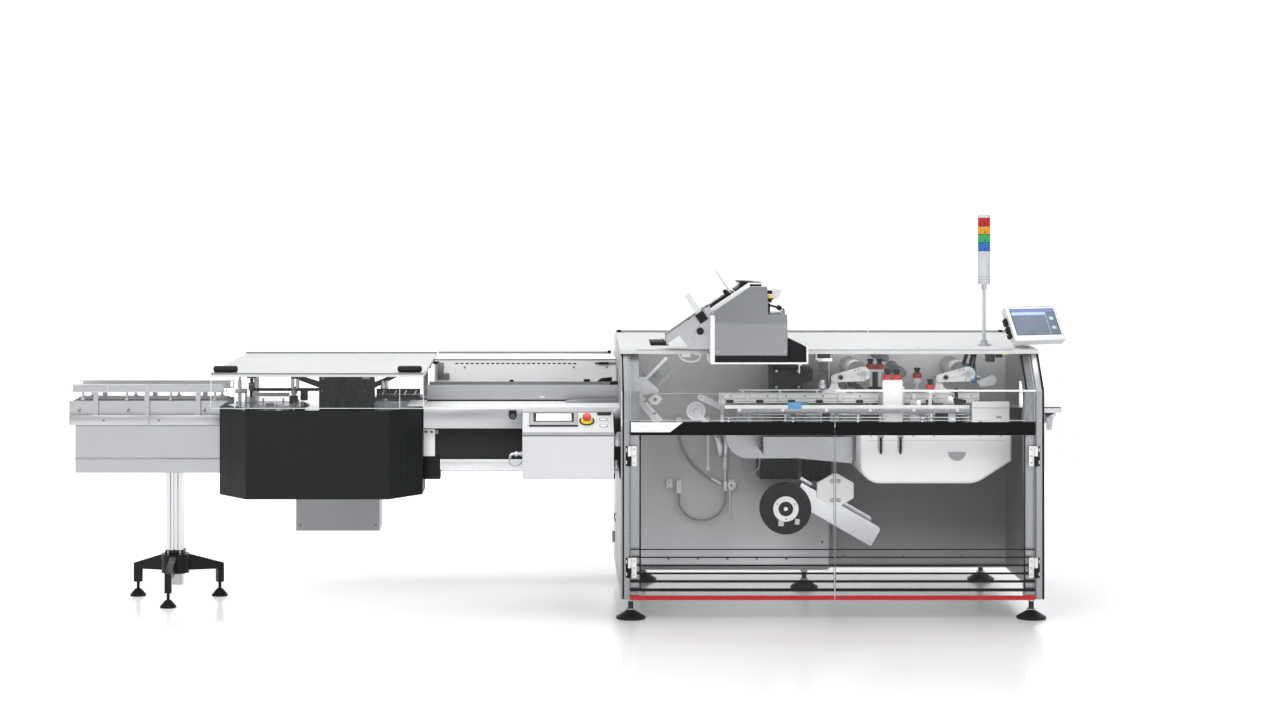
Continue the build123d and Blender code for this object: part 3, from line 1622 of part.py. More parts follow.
handle_radius = 16
handle_length = 96
with BuildPart() as hood_handles:
    for edge, towards in ((hood_x[0], 1), (hood_x[1], -1)):
        near = (edge + towards * 20, front_y + 30, hood_top + handle_radius + seat_gap)
        far = (edge + towards * (20 + handle_length), front_y + 30, hood_top + handle_radius + seat_gap)
        rod(near, far, handle_radius)
hood_handles.part.label = "hood_handles"
export_step(hood_handles.part, "parts/hood_handles.step")

# Pick column with its two sloping arms, and the bar that ties it to a post with a T knob
column_x = (station_x - 32, chain_left)
column_depths = (440, 600)
column_step_x = station_x + 236
column_step_depth = 520
column_top = 1128
pick_arm_depths = (480, 520)
pick_arm_root_z = (1054, 1082)
pick_arm_tip_z = (1108, 1128)
nozzle_bottom = 1046
nozzle_radius = 7.5
pick_arms = (
    (column_x[0], -1, 144, (109, 133), 1112),
    (column_step_x, 1, 112, (39, 59), 1096),
)
tie_bar_z = (1030, 1045)
tie_bar_depths = (588, 600)
t_post_x = station_x - 381
t_post_y = front_y + 612
t_knob_half = 23
with BuildPart() as pick_column:
    block(column_x, deep(*column_depths), (deck_top, column_top))
    block((column_x[1], column_step_x), deep(column_depths[0], column_step_depth), (deck_top, column_top))
    for root_x, towards, arm_reach, nozzle_reaches, nozzle_top in pick_arms:
        tip_x = root_x + towards * arm_reach
        front_plate(
            [
                (root_x, pick_arm_root_z[0]),
                (tip_x, pick_arm_tip_z[0]),
                (tip_x, pick_arm_tip_z[1]),
                (root_x, pick_arm_root_z[1]),
            ],
            deep(*pick_arm_depths),
        )
        for nozzle_reach in nozzle_reaches:
            nozzle_x = root_x + towards * nozzle_reach
            nozzle_y = front_y + pick_arm_depths[0]
            rod((nozzle_x, nozzle_y, nozzle_bottom), (nozzle_x, nozzle_y, nozzle_top), nozzle_radius)
    block((t_post_x, column_x[0]), deep(*tie_bar_depths), tie_bar_z)
    for low, high, radius in ((deck_top, 1032, 10), (1032, 1069, 16), (1069, 1092, 8)):
        rod((t_post_x, t_post_y, low), (t_post_x, t_post_y, high), radius)
    t_knob_x = (t_post_x - t_knob_half, t_post_x + t_knob_half)
    block(t_knob_x, (t_post_y - 10, t_post_y + 10), (1092, 1109))
pick_column.part.label = "pick_column"
export_step(pick_column.part, "parts/pick_column.step")

table_centre = (station_x - table_from_station, front_y + table_depth)
with BuildPart() as rotary_table:
    rod((*table_centre, deck_top), (*table_centre, deck_top + 20), table_radius - 75)
    rod((*table_centre, deck_top + 20), (*table_centre, deck_top + 28), table_radius)
rotary_table.part.label = "rotary_table"
export_step(rotary_table.part, "parts/rotary_table.step")

# Middle section: white table, its fascia, the dark beam and the aluminium rail
middle_x = (station_right + moving_gap, cabinet_left)
with BuildPart() as transfer_table:
    block(middle_x, deep(table_front_depth, channel_front_depth), (table_top - table_sheet, table_top))
    block(
        middle_x,
        deep(table_front_depth, table_front_depth + 4),
        (fascia_bottom, table_top - table_sheet),
    )
    block(
        middle_x,
        deep(table_front_depth, channel_front_depth),
        (fascia_bottom, fascia_bottom + 4),
    )
transfer_table.part.label = "transfer_table"
export_step(transfer_table.part, "parts/transfer_table.step")

# Beam between station and cabinet, with the rail under it and ties to the rear
with BuildPart() as transfer_beam:
    beam_z = (beam_bottom, beam_top)
    block((station_right, cabinet_left), deep(beam_front_depth, conveyor_rear_depth), beam_z)
    block((frame_x[1], station_right), deep(skirt_rear_depth + moving_gap, conveyor_rear_depth), beam_z)
    block(
        (middle_x[0] + 78, cabinet_left),
        deep(beam_front_depth, beam_front_depth + rail_depth),
        (rail_bottom, beam_bottom),
    )
    for tie_x in (station_right + 120, cabinet_left - 160):
        block(
            (tie_x, tie_x + 60),
            deep(conveyor_rear_depth, rear_cover_depth),
            (beam_bottom + 20, beam_top - 20),
        )
transfer_beam.part.label = "transfer_beam"
export_step(transfer_beam.part, "parts/transfer_beam.step")

# Bucket channel: two walls with the chain's shafts between them
wheel_radius = (chain_top - chain_bottom) / 2 - chain_band
chain_z = (chain_top + chain_bottom) / 2
chain_y = deep(channel_front_depth + 40, channel_rear_depth - 40)
wheel_places = (chain_left + 60, chain_right - 60)
channel_walls = (
    (channel_front_depth, channel_front_depth + channel_sheet),
    (channel_rear_depth - channel_sheet, channel_rear_depth),
)
with BuildPart() as bucket_channel:
    for near, far in channel_walls:
        block((middle_x[0], chain_right), deep(near, far), (chain_bottom, channel_top))
        block((chain_left, middle_x[0]), deep(near, far), (chain_bottom, table_top))
    for wheel_x in wheel_places:
        rod(
            (wheel_x, front_y + channel_front_depth, chain_z),
            (wheel_x, front_y + channel_rear_depth, chain_z),
            14,
        )
        rod((wheel_x, chain_y[0] + 10, chain_z), (wheel_x, chain_y[1] - 10, chain_z), wheel_radius)
bucket_channel.part.label = "bucket_channel"
export_step(bucket_channel.part, "parts/bucket_channel.step")

with BuildPart() as bucket_chain:
    plane = Plane(origin=(0, chain_y[1], 0), x_dir=(1, 0, 0), z_dir=(0, -1, 0))
    centre_x = (wheel_places[0] + wheel_places[1]) / 2
    run_length = wheel_places[1] - wheel_places[0]
    with BuildSketch(plane) as chain_loop:
        with Locations((centre_x, chain_z)):
            SlotCenterToCenter(run_length, chain_top - chain_bottom)
            SlotCenterToCenter(run_length, 2 * wheel_radius + 2 * seat_gap, mode=Mode.SUBTRACT)
    extrude(chain_loop.sketch, amount=chain_y[1] - chain_y[0])
    cleat_count = int(run_length // chain_pitch)
    for number in range(cleat_count):
        cleat_x = wheel_places[0] + (number + 0.5) * chain_pitch
        block((cleat_x - 1.5, cleat_x + 1.5), chain_y, (chain_top - 2, chain_top + cleat_height))
bucket_chain.part.label = "bucket_chain"
export_step(bucket_chain.part, "parts/bucket_chain.step")

# Rear cover of the middle section, with its rolled rear edge
with BuildPart() as rear_cover:
    block(
        (station_x + hood_half + moving_gap, cabinet_left),
        deep(rear_cover_depth, machine_depth),
        (rail_bottom, hood_top),
    )
rear_cover.part.label = "rear_cover"
export_step(rear_cover.part, "parts/rear_cover.step")

# Control box with its sloping desk
box_side = [
    (front_y, box_bottom),
    (front_y, box_shelf_z),
    (front_y + box_depth, box_rear_z),
    (front_y + table_front_depth, box_rear_z),
    (front_y + table_front_depth, box_bottom),
]
with BuildPart() as control_box:
    side_plate(box_side, (box_left, box_right))
    bracket_z = (beam_bottom + 10, beam_top - 30)
    block((box_left + 40, box_right - 40), deep(table_front_depth, beam_front_depth), bracket_z)
control_box.part.label = "control_box"
export_step(control_box.part, "parts/control_box.step")

# Emergency stop: yellow collar on the desk and the mushroom head that slides in it
desk_angle = math.degrees(math.atan2(box_rear_z - box_shelf_z, box_depth))
stop_run = 92
stop_plane = Plane(
    origin=(
        stop_x,
        front_y + stop_run * math.cos(math.radians(desk_angle)),
        box_shelf_z + stop_run * math.sin(math.radians(desk_angle)),
    )
).rotated((desk_angle, 0, 0))
stop_stem_radius = 8
stop_collar_height = 14
stop_head_gap = stop_travel + 1
with BuildPart() as stop_collar:
    with BuildSketch(stop_plane) as collar_section:
        Circle(stop_ring_radius)
    extrude(collar_section.sketch, amount=stop_collar_height, taper=14)
    with BuildSketch(stop_plane) as collar_bore:
        Circle(stop_stem_radius + running_gap)
    extrude(collar_bore.sketch, amount=stop_collar_height, mode=Mode.SUBTRACT)
stop_collar.part.label = "stop_collar"
export_step(stop_collar.part, "parts/stop_collar.step")

with BuildPart() as stop_button:
    with BuildSketch(stop_plane.offset(stop_travel + 1)) as stem_section:
        Circle(stop_stem_radius)
    extrude(stem_section.sketch, amount=stop_collar_height + 4)
    with BuildSketch(stop_plane.offset(stop_collar_height + stop_head_gap)) as head_section:
        Circle(stop_head_radius)
    extrude(head_section.sketch, amount=18)
    fillet(stop_button.edges().filter_by(GeomType.CIRCLE).sort_by(Axis.Z)[-1], 6)
stop_button.part.label = "stop_button"
export_step(stop_button.part, "parts/stop_button.step")

# Left conveyor: box beam with side plates, the belt loop and its rails
conveyor_x = (machine_left, frame_x[0])
conveyor_y = deep(conveyor_front_depth, conveyor_rear_depth)
side_sheet = 5
guide_rail_width = 12
guide_rail_z = (1034, 1073)
belt_bottom = strip_top + 8 + seat_gap
belt_radius = (conveyor_top - belt_bottom) / 2
belt_axis_z = conveyor_top - belt_radius
belt_left = machine_left + 4 + belt_radius
belt_right = conveyor_x[1] - 4 - belt_radius
with BuildPart() as infeed_conveyor:
    block((machine_left + 30, conveyor_x[1]), conveyor_y, (conveyor_bottom, plate_top))
    block(
        (machine_left + 30, conveyor_x[1]),
        (conveyor_y[0] + 4, conveyor_y[1] - 4),
        (plate_top, strip_top),
    )
    for near, far in (
        (conveyor_y[0], conveyor_y[0] + side_sheet),
        (conveyor_y[1] - side_sheet, conveyor_y[1]),
    ):
        block((machine_left, conveyor_x[1]), (near, far), (plate_top + 8, conveyor_top - 6))
    block(
        (machine_left + 60, conveyor_x[1]),
        (conveyor_y[0] + 5, conveyor_y[1] - 5),
        (strip_top, strip_top + 8),
    )
    for rail_near in (conveyor_front_depth - guide_rail_width, conveyor_rear_depth):
        rail_y = deep(rail_near, rail_near + guide_rail_width)
        block((machine_left + 20, conveyor_x[1] - 20), rail_y, guide_rail_z)
        for post_x in range(int(machine_left) + 120, int(conveyor_x[1]) - 100, 250):
            block((post_x, post_x + 24), rail_y, (plate_top + 20, guide_rail_z[0]))
    for roller_x in (belt_left, belt_right):
        rod(
            (roller_x, conveyor_y[0] + side_sheet, belt_axis_z),
            (roller_x, conveyor_y[1] - side_sheet, belt_axis_z),
            belt_radius - belt_thickness - seat_gap,
        )
infeed_conveyor.part.label = "infeed_conveyor"
export_step(infeed_conveyor.part, "parts/infeed_conveyor.step")

with BuildPart() as conveyor_belt:
    plane = Plane(origin=(0, conveyor_y[1] - side_sheet - 6, 0), x_dir=(1, 0, 0), z_dir=(0, -1, 0))
    with BuildSketch(plane) as belt_loop:
        with Locations(((belt_left + belt_right) / 2, belt_axis_z)):
            SlotCenterToCenter(belt_right - belt_left, 2 * belt_radius)
            SlotCenterToCenter(belt_right - belt_left, 2 * (belt_radius - belt_thickness), mode=Mode.SUBTRACT)
    extrude(belt_loop.sketch, amount=conveyor_y[1] - conveyor_y[0] - 2 * side_sheet - 12)
conveyor_belt.part.label = "conveyor_belt"
export_step(conveyor_belt.part, "parts/conveyor_belt.step")

# Tripod stand: slotted column in a hub with three cranked legs
stand_y = front_y + stand_depth
leg_angles = (-90, 30, 150)
hub_bottom = 135
hub_top = 228
leg_knee_z = 165
leg_foot_z = 70
leg_half = 16
with BuildPart() as stand_column_part:
    block(
        (stand_x - stand_column / 2, stand_x + stand_column / 2),
        (stand_y - stand_column / 2, stand_y + stand_column / 2),
        (78, conveyor_bottom),
    )
    groove = 4
    for side in (-1, 1):
        block(
            (stand_x - groove, stand_x + groove),
            sorted((stand_y + side * stand_column / 2, stand_y + side * (stand_column / 2 - 10))),
            (78, conveyor_bottom),
            Mode.SUBTRACT,
        )
        block(
            sorted((stand_x + side * stand_column / 2, stand_x + side * (stand_column / 2 - 10))),
            (stand_y - groove, stand_y + groove),
            (78, conveyor_bottom),
            Mode.SUBTRACT,
        )
stand_column_part.part.label = "stand_column"
export_step(stand_column_part.part, "parts/stand_column.step")

with BuildPart() as tripod_base:
    with BuildSketch(Plane.XY.offset(hub_bottom)) as hub_section:
        with Locations((stand_x, stand_y)):
            Circle(stand_column * 0.86)
            Rectangle(stand_column, stand_column, mode=Mode.SUBTRACT)
    extrude(hub_section.sketch, amount=hub_top - hub_bottom)
    for angle in leg_angles:
        leg_plane = Plane(
            origin=(stand_x, stand_y, 0),
            x_dir=(math.cos(math.radians(angle)), math.sin(math.radians(angle)), 0),
            z_dir=(math.sin(math.radians(angle)), -math.cos(math.radians(angle)), 0),
        )
        with BuildSketch(leg_plane.offset(-leg_half)) as leg_section:
            Polygon(
                (stand_column * 0.8, hub_bottom + 8),
                (stand_column * 0.8, hub_top - 4),
                (stand_leg_radius + leg_half, leg_knee_z),
                (stand_leg_radius + leg_half, leg_foot_z),
                (stand_leg_radius - leg_half, leg_foot_z),
                (stand_leg_radius - leg_half, leg_knee_z - 28),
                align=None,
            )
        extrude(leg_section.sketch, amount=2 * leg_half)
    with BuildSketch(Plane.XZ) as pad_profile:
        Polygon(
            (0, 0),
            (stand_pad_radius, 0),
            (stand_pad_radius, 7),
            (15, 36),
            (8, 36),
            (8, leg_foot_z),
            (0, leg_foot_z),
            align=None,
        )
    pad = revolve(pad_profile.sketch, Axis.Z, mode=Mode.PRIVATE)
    with Locations((stand_x, stand_y, 0)):
        with PolarLocations(stand_leg_radius, 3, start_angle=leg_angles[0]):
            add(pad)
tripod_base.part.label = "tripod_base"
export_step(tripod_base.part, "parts/tripod_base.step")
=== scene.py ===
"""Looks of the automatic cartoner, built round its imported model.

The model's frame is kept: +X along the line, -Y towards the operator, +Z up. Pieces are
written in millimetres as (x, depth, z), where a depth is measured from the operator's front
plane towards the back, and they are turned into metres when their mesh is made.
"""
import math

import bmesh
import bpy
from mathutils import Euler, Matrix, Vector


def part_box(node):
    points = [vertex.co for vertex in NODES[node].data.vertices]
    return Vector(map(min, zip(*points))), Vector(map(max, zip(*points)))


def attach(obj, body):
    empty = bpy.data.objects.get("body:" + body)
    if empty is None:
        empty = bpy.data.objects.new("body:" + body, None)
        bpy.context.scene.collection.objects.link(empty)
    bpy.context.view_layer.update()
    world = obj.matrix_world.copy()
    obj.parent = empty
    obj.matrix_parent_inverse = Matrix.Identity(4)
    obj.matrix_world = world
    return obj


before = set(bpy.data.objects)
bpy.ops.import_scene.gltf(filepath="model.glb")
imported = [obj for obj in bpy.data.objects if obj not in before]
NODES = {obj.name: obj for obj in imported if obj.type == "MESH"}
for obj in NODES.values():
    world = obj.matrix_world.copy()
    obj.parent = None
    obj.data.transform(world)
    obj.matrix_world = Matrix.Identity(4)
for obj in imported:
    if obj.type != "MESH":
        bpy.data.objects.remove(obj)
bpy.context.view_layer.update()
MM = 0.001
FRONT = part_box("front_posts")[0].y / MM


def span(node, axis):
    """Limits of a node along an axis, in millimetres, with depths for Y."""
    spot = "XYZ".index(axis)
    shift = FRONT if axis == "Y" else 0.0
    return tuple(corner[spot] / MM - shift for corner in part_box(node))


# Planes and places that several pieces share
CABINET_LEFT, CABINET_RIGHT = span("front_posts", "X")
FRAME_BOTTOM = span("front_posts", "Z")[0]
DOOR_BOTTOM, DOOR_TOP = span("lower_left_door", "Z")
GUARD_BOTTOM = span("upper_guards", "Z")[0]
BAND_HEIGHT = 63
RAIL_HEIGHT = 20
PANE_FRONT = 3
PANE_REAR = 11
FOLD_Z = 1076
LEAN_DEPTH = 150
COVER_FRONT_Z = 1264
COVER_SHEET = 20
COVER_SLOPE = math.atan2(33, 850)
LEAN_HEIGHT = COVER_FRONT_Z - COVER_SHEET - FOLD_Z
LEAN_ANGLE = math.degrees(math.atan2(LEAN_DEPTH, LEAN_HEIGHT))
LEAN_LENGTH = math.hypot(LEAN_DEPTH, LEAN_HEIGHT)
GUARD_SEAM_X = 1242
LEFT_WALL_DEPTH, RIGHT_WALL_DEPTH, WALL_STEP_X = 905, 986, 1312
TRACK_TOP = 908
LEANING = ((0, 0, FOLD_Z), (-LEAN_ANGLE, 0, 0))

# Directions
UP, DOWN, TO_FRONT, TO_BACK = (0, 0, 1), (0, 0, -1), (0, -1, 0), (0, 1, 0)


def cover_z(depth, sheet=0.0):
    """Height of the top cover at a depth, or of its underside with its sheet's thickness."""
    return COVER_FRONT_Z + (depth - LEAN_DEPTH) * math.tan(COVER_SLOPE) - sheet


# Materials

class Look:
    """A Principled material and the few node steps that give it detail."""

    def __init__(self, name, colour, roughness, metallic=0.0):
        self.material = bpy.data.materials.new(name)
        self.material.use_nodes = True
        self.tree = self.material.node_tree
        self.shader = self.tree.nodes["Principled BSDF"]
        self.set("Base Color", (*colour, 1.0))
        self.set("Roughness", roughness)
        self.set("Metallic", metallic)

    def set(self, socket, value):
        """Give one of the shader's own sockets a value."""
        self.shader.inputs[socket].default_value = value

    def node(self, kind):
        """Add a node."""
        return self.tree.nodes.new(kind)

    def link(self, source, target):
        """Join two sockets."""
        self.tree.links.new(source, target)

    def place(self, stretch=(1.0, 1.0, 1.0)):
        """The object's own coordinates, stretched along each axis."""
        coordinates = self.node("ShaderNodeTexCoord")
        mapping = self.node("ShaderNodeMapping")
        mapping.inputs["Scale"].default_value = stretch
        self.link(coordinates.outputs["Object"], mapping.inputs["Vector"])
        return mapping.outputs["Vector"]

    def noise(self, scale, stretch=(1.0, 1.0, 1.0), detail=3.0):
        """Noise over the object's coordinates."""
        texture = self.node("ShaderNodeTexNoise")
        texture.inputs["Scale"].default_value = scale
        texture.inputs["Detail"].default_value = detail
        self.link(self.place(stretch), texture.inputs["Vector"])
        return texture.outputs["Fac"]

    def remap(self, value, start, end, low, high):
        """Map a value from one range to another."""
        node = self.node("ShaderNodeMapRange")
        node.inputs["From Min"].default_value = start
        node.inputs["From Max"].default_value = end
        node.inputs["To Min"].default_value = low
        node.inputs["To Max"].default_value = high
        self.link(value, node.inputs["Value"])
        return node.outputs["Result"]

    def ramp(self, value, stops, constant=False):
        """Colours by a value; each stop is a position and a colour."""
        node = self.node("ShaderNodeValToRGB")
        if constant:
            node.color_ramp.interpolation = "CONSTANT"
        elements = node.color_ramp.elements
        while len(elements) < len(stops):
            elements.new(1.0)
        for element, (position, colour) in zip(elements, stops):
            element.position = position
            element.color = (*colour, 1.0)
        self.link(value, node.inputs["Fac"])
        return node.outputs["Color"]

    def blend(self, factor, first, second, kind="MIX"):
        """Blend two colours, by a value or in full."""
        node = self.node("ShaderNodeMix")
        node.data_type = "RGBA"
        node.blend_type = kind
        node.inputs["Factor"].default_value = 1.0
        if factor:
            self.link(factor, node.inputs["Factor"])
        self.link(first, node.inputs["A"])
        self.link(second, node.inputs["B"])
        return node.outputs["Result"]

    def tint(self, value, dark, light):
        """Colour the surface between two colours by a noise value."""
        self.link(self.ramp(value, [(0.3, dark), (0.7, light)]), self.shader.inputs["Base Color"])

    def rough(self, value, low, high):
        """Vary the roughness with a noise value."""
        self.link(self.remap(value, 0.3, 0.7, low, high), self.shader.inputs["Roughness"])

    def relief(self, value, height, strength=1.0, edge=0.0):
        """Raise the surface by a height in metres, and soften its edges by a radius."""
        bump = self.node("ShaderNodeBump")
        bump.inputs["Strength"].default_value = strength
        bump.inputs["Distance"].default_value = height
        self.link(value, bump.inputs["Height"])
        if edge:
            soft = self.node("ShaderNodeBevel")
            soft.samples = 4
            soft.inputs["Radius"].default_value = edge
            self.link(soft.outputs["Normal"], bump.inputs["Normal"])
        self.link(bump.outputs["Normal"], self.shader.inputs["Normal"])

    def along(self, axis):
        """One of the object's own coordinates."""
        split = self.node("ShaderNodeSeparateXYZ")
        self.link(self.place(), split.inputs["Vector"])
        return split.outputs[axis]

    def bands(self, axis, limits, colours):
        """Colour the surface in bands along an axis, between limits in metres."""
        low, high = limits[0], limits[-1]
        stops = [((limit - low) / (high - low), colour) for limit, colour in zip(limits, colours)]
        unit = self.remap(self.along(axis), low, high, 0.0, 1.0)
        self.link(self.ramp(unit, stops, True), self.shader.inputs["Base Color"])


def grey(value):
    """A grey with a trace of blue."""
    return (value, value + 0.005, value + 0.01)


def shade(colour, factor):
    """A colour made darker or lighter by a factor."""
    return tuple(min(1.0, part * factor) for part in colour)


def brushed(name, colour, grain, roughness):
    """Brushed sheet: grain is the axis along which the brush ran."""
    look = Look(name, colour, roughness, 1.0)
    stretch = [1.0 if axis == grain else 90.0 for axis in "XYZ"]
    lines = look.noise(5.0, stretch, 3.0)
    look.tint(lines, shade(colour, 0.94), shade(colour, 1.04))
    look.rough(look.noise(2.2, detail=1.0), roughness - 0.06, roughness + 0.08)
    look.relief(lines, 0.00002, 0.3, 0.0012)
    return look.material


def blasted(name, colour, roughness):
    """Satin sheet: an even fine grain with soft clouding."""
    look = Look(name, colour, roughness, 1.0)
    look.tint(look.noise(3.0, detail=5.0), shade(colour, 0.9), shade(colour, 1.08))
    look.rough(look.noise(9.0), roughness - 0.05, roughness + 0.08)
    look.relief(look.noise(1400.0, detail=2.0), 0.00005, 0.5, 0.0012)
    return look.material


def shaded_wall_paint(name, left, right, step, roughness):
    """Paint of the back wall: two sheets with a step between them, each lighter or darker by height as
    painted light and shade, the left one with a painted shadow that deepens towards the step.
    """
    look = Look(name, left[0], roughness)
    side = look.remap(look.along("X"), step - 0.001, step + 0.001, 0.0, 1.0)
    height = look.remap(look.along("Z"), 0.1, 1.25, 0.0, 1.0)
    # Each sheet's tones from foot to top: painted light and shade by height.
    colours = [look.ramp(height, list(zip((0.0, 0.2, 0.5, 0.75, 1.0), part))) for part in (left, right)]
    # Painted shadow on the left sheet, darkest at the step and only above the sheet's foot.
    across = look.remap(look.along("X"), 0.24, step, 0.0, 1.0)
    shadow = look.ramp(across, [(0.0, (0.95,) * 3), (0.4, (0.75,) * 3), (1.0, (0.32,) * 3)])
    unshaded = look.ramp(across, [(0.0, (1.0,) * 3), (1.0, (1.0,) * 3)])
    height_shadow = look.blend(look.remap(look.along("Z"), 0.15, 0.6, 0.0, 1.0), unshaded, shadow)
    colours[0] = look.blend(None, colours[0], height_shadow, "MULTIPLY")
    clouds = look.ramp(look.noise(2.0, detail=4.0), [(0.3, (0.92,) * 3), (0.7, (1.0,) * 3)])
    sheets = look.blend(side, *colours)
    look.link(look.blend(None, sheets, clouds, "MULTIPLY"), look.shader.inputs["Base Color"])
    look.rough(look.noise(14.0), roughness - 0.06, roughness + 0.06)
    look.relief(look.noise(900.0, detail=2.0), 0.00008, 0.4, 0.0012)
    return look.material


def powder(name, colour, roughness, grain=700.0, edge=0.0015):
    """Powder coat: a fine orange peel and faintly cloudy colour."""
    look = Look(name, colour, roughness)
    look.set("Specular IOR Level", 0.15 if max(colour) < 0.05 else 0.45)
    look.tint(look.noise(2.5, detail=4.0), shade(colour, 0.95), shade(colour, 1.03))
    look.rough(look.noise(30.0), roughness - 0.05, roughness + 0.07)
    look.relief(look.noise(grain, detail=2.0), 0.00012, 0.5, edge)
    return look.material


def moulded(name, colour, roughness, grain=1800.0, glow=0.0):
    """Moulded plastic with a fine spark-eroded grain; a screen also glows."""
    look = Look(name, colour, roughness)
    look.set("Specular IOR Level", 0.2 if max(colour) < 0.05 else 0.45)
    look.rough(look.noise(40.0), roughness - 0.04, roughness + 0.08)
    look.tint(look.noise(12.0, detail=2.0), shade(colour, 0.92), shade(colour, 1.06))
    look.relief(look.noise(grain, detail=1.0), 0.00006, 0.4, 0.0008)
    if glow:
        look.set("Emission Color", (*colour, 1.0))
        look.set("Emission Strength", glow)
    return look.material


def clear(name, colour, alpha, roughness=0.04):
    """Clear sheet: mostly see-through, with a gloss that varies a little."""
    look = Look(name, colour, roughness)
    look.set("Alpha", alpha)
    look.set("IOR", 1.49)
    look.set("Specular IOR Level", 0.7)
    look.rough(look.noise(6.0), roughness, roughness + 0.05)
    return look.material


def banded(name, roughness, axis, limits, colours, specular=0.25):
    """One surface whose colour changes along an axis, such as a painted band and rail."""
    look = Look(name, colours[0], roughness)
    look.set("Specular IOR Level", specular)
    look.bands(axis, limits, colours)
    look.rough(look.noise(30.0), roughness - 0.04, roughness + 0.08)
    look.relief(look.noise(900.0, detail=1.0), 0.00006, 0.4, 0.0008)
    return look.material


STEEL_GREY = grey(0.38)
DARK_STEEL = (0.27, 0.275, 0.285)
WHITE = (0.78, 0.785, 0.78)
NEAR_BLACK = (0.012, 0.012, 0.013)
SIGNAL_RED = (0.47, 0.03, 0.035)
# Tones of the two wall sheets from foot to top; the change with height is painted light and shade.
LEFT_WALL = [(tone, tone * 1.005, tone * 1.015) for tone in (0.85, 0.78, 0.66, 0.50, 0.48)]
RIGHT_WALL = [(tone, tone * 1.01, tone * 1.02) for tone in (0.46, 0.22, 0.13, 0.50, 0.92)]
LENS_RED = (0.42, 0.012, 0.018)
LENS_AMBER = (0.62, 0.27, 0.015)
LENS_GREEN = (0.03, 0.30, 0.10)
LENS_BLUE = (0.02, 0.13, 0.42)

MAT = {
    "post": brushed("post_steel", STEEL_GREY, "Z", 0.36),
    "wall": shaded_wall_paint("wall_paint_and_shade", LEFT_WALL, RIGHT_WALL, WALL_STEP_X * MM, 0.4),
    "side_wall": blasted("side_wall_steel", grey(0.46), 0.42),
    "panel_steel": brushed("panel_steel", grey(0.50), "X", 0.33),
    "dark_steel": brushed("dark_steel", DARK_STEEL, "X", 0.4),
    "bright": brushed("bright_steel", grey(0.72), "X", 0.22),
    "machined": blasted("machined_steel", (0.56, 0.565, 0.575), 0.3),
    "aluminium": brushed("anodised_aluminium", grey(0.74), "Z", 0.34),
    "magazine": brushed("magazine_aluminium", grey(0.52), "X", 0.4),
    "white": powder("white_coat", WHITE, 0.38),
    # Darker copy of the white coat: painted shade for the top cover and hood, where overhead light falls
    # hardest.
    "cover_white_shaded": powder("cover_coat_shaded", (0.56, 0.565, 0.56), 0.5),
    # Darker copy of the white coat: painted shade on the control box.
    "box_white_shaded": powder("box_coat_shaded", grey(0.60), 0.4),
    # Lighter copy of the white coat: painted light on the rear cover, bearing plate and other white parts
    # that stand in shade.
    "white_lit": powder("white_coat_lit", (0.93, 0.93, 0.925), 0.4),
    "black": powder("black_coat", NEAR_BLACK, 0.3),
    "charcoal": powder("charcoal_coat", (0.012, 0.0135, 0.0135), 0.45, 420.0),
    "beam": powder("beam_coat", (0.022, 0.023, 0.0225), 0.45),
    "sump": brushed("sump_steel", grey(0.27), "X", 0.3),
    "feeder_steel": brushed("feeder_steel", grey(0.37), "X", 0.3),
    "mid_grey": moulded("mid_grey_plastic", grey(0.19), 0.4),
    "white_plastic": moulded("white_plastic", (0.80, 0.80, 0.79), 0.42),
    "black_plastic": moulded("black_plastic", (0.010, 0.010, 0.0105), 0.42),
    "black_gloss": moulded("black_print", (0.01, 0.01, 0.01), 0.2),
    "grey_plastic": moulded("grey_plastic", grey(0.34), 0.4),
    "light_grey": moulded("light_grey_plastic", grey(0.58), 0.4),
    "silver_plastic": moulded("silver_plastic", (0.50, 0.51, 0.52), 0.3),
    "brown_motor": moulded("motor_case", (0.05, 0.035, 0.034), 0.4),
    "red": moulded("red_plastic", (0.62, 0.045, 0.03), 0.3),
    "knob_red": moulded("knob_red_plastic", (0.46, 0.038, 0.027), 0.35),
    "arm_white": moulded("arm_white_plastic", (0.69, 0.69, 0.68), 0.42),
    "trough": brushed("trough_steel", grey(0.43), "X", 0.3),
    "yellow": moulded("yellow_plastic", (0.80, 0.60, 0.03), 0.35),
    "blue": moulded("blue_plastic", (0.10, 0.32, 0.62), 0.35),
    "teal": moulded("teal_plastic", (0.05, 0.24, 0.30), 0.35),
    "rubber": moulded("black_rubber", (0.018, 0.018, 0.019), 0.62, 600.0),
    "belt": moulded("belt_surface", grey(0.10), 0.55, 500.0),
    "screen_white": moulded("key_screen", (0.78, 0.79, 0.78), 0.25, 1800.0, 0.15),
    "screen_body": moulded("screen_body", (0.15, 0.18, 0.23), 0.22, 1800.0, 0.35),
    "screen_side": moulded("screen_side", (0.13, 0.16, 0.195), 0.22, 1800.0, 0.3),
    "screen_head": moulded("screen_head", (0.16, 0.21, 0.42), 0.22, 1800.0, 0.4),
    "screen_band": moulded("screen_band", (0.37, 0.48, 0.57), 0.22, 1800.0, 0.4),
    "clear": clear("clear_sheet", (0.66, 0.69, 0.70), 0.022),
    "door": clear("door_sheet", (0.50, 0.52, 0.53), 0.02),
    # Lighter, less clear strips along the clear sheets' edges: painted highlight.
    "edge": clear("sheet_edge_highlight", (0.80, 0.83, 0.84), 0.5, 0.12),
    "door_edge": clear("door_sheet_edge", (0.25, 0.26, 0.27), 0.85, 0.12),
    "frosted": clear("frosted_sheet", (0.60, 0.62, 0.62), 0.6, 0.3),
    "hose": moulded("grey_hose", (0.28, 0.28, 0.285), 0.45, 900.0),
    "tube": clear("clear_tube", (0.70, 0.74, 0.76), 0.55, 0.15),
}
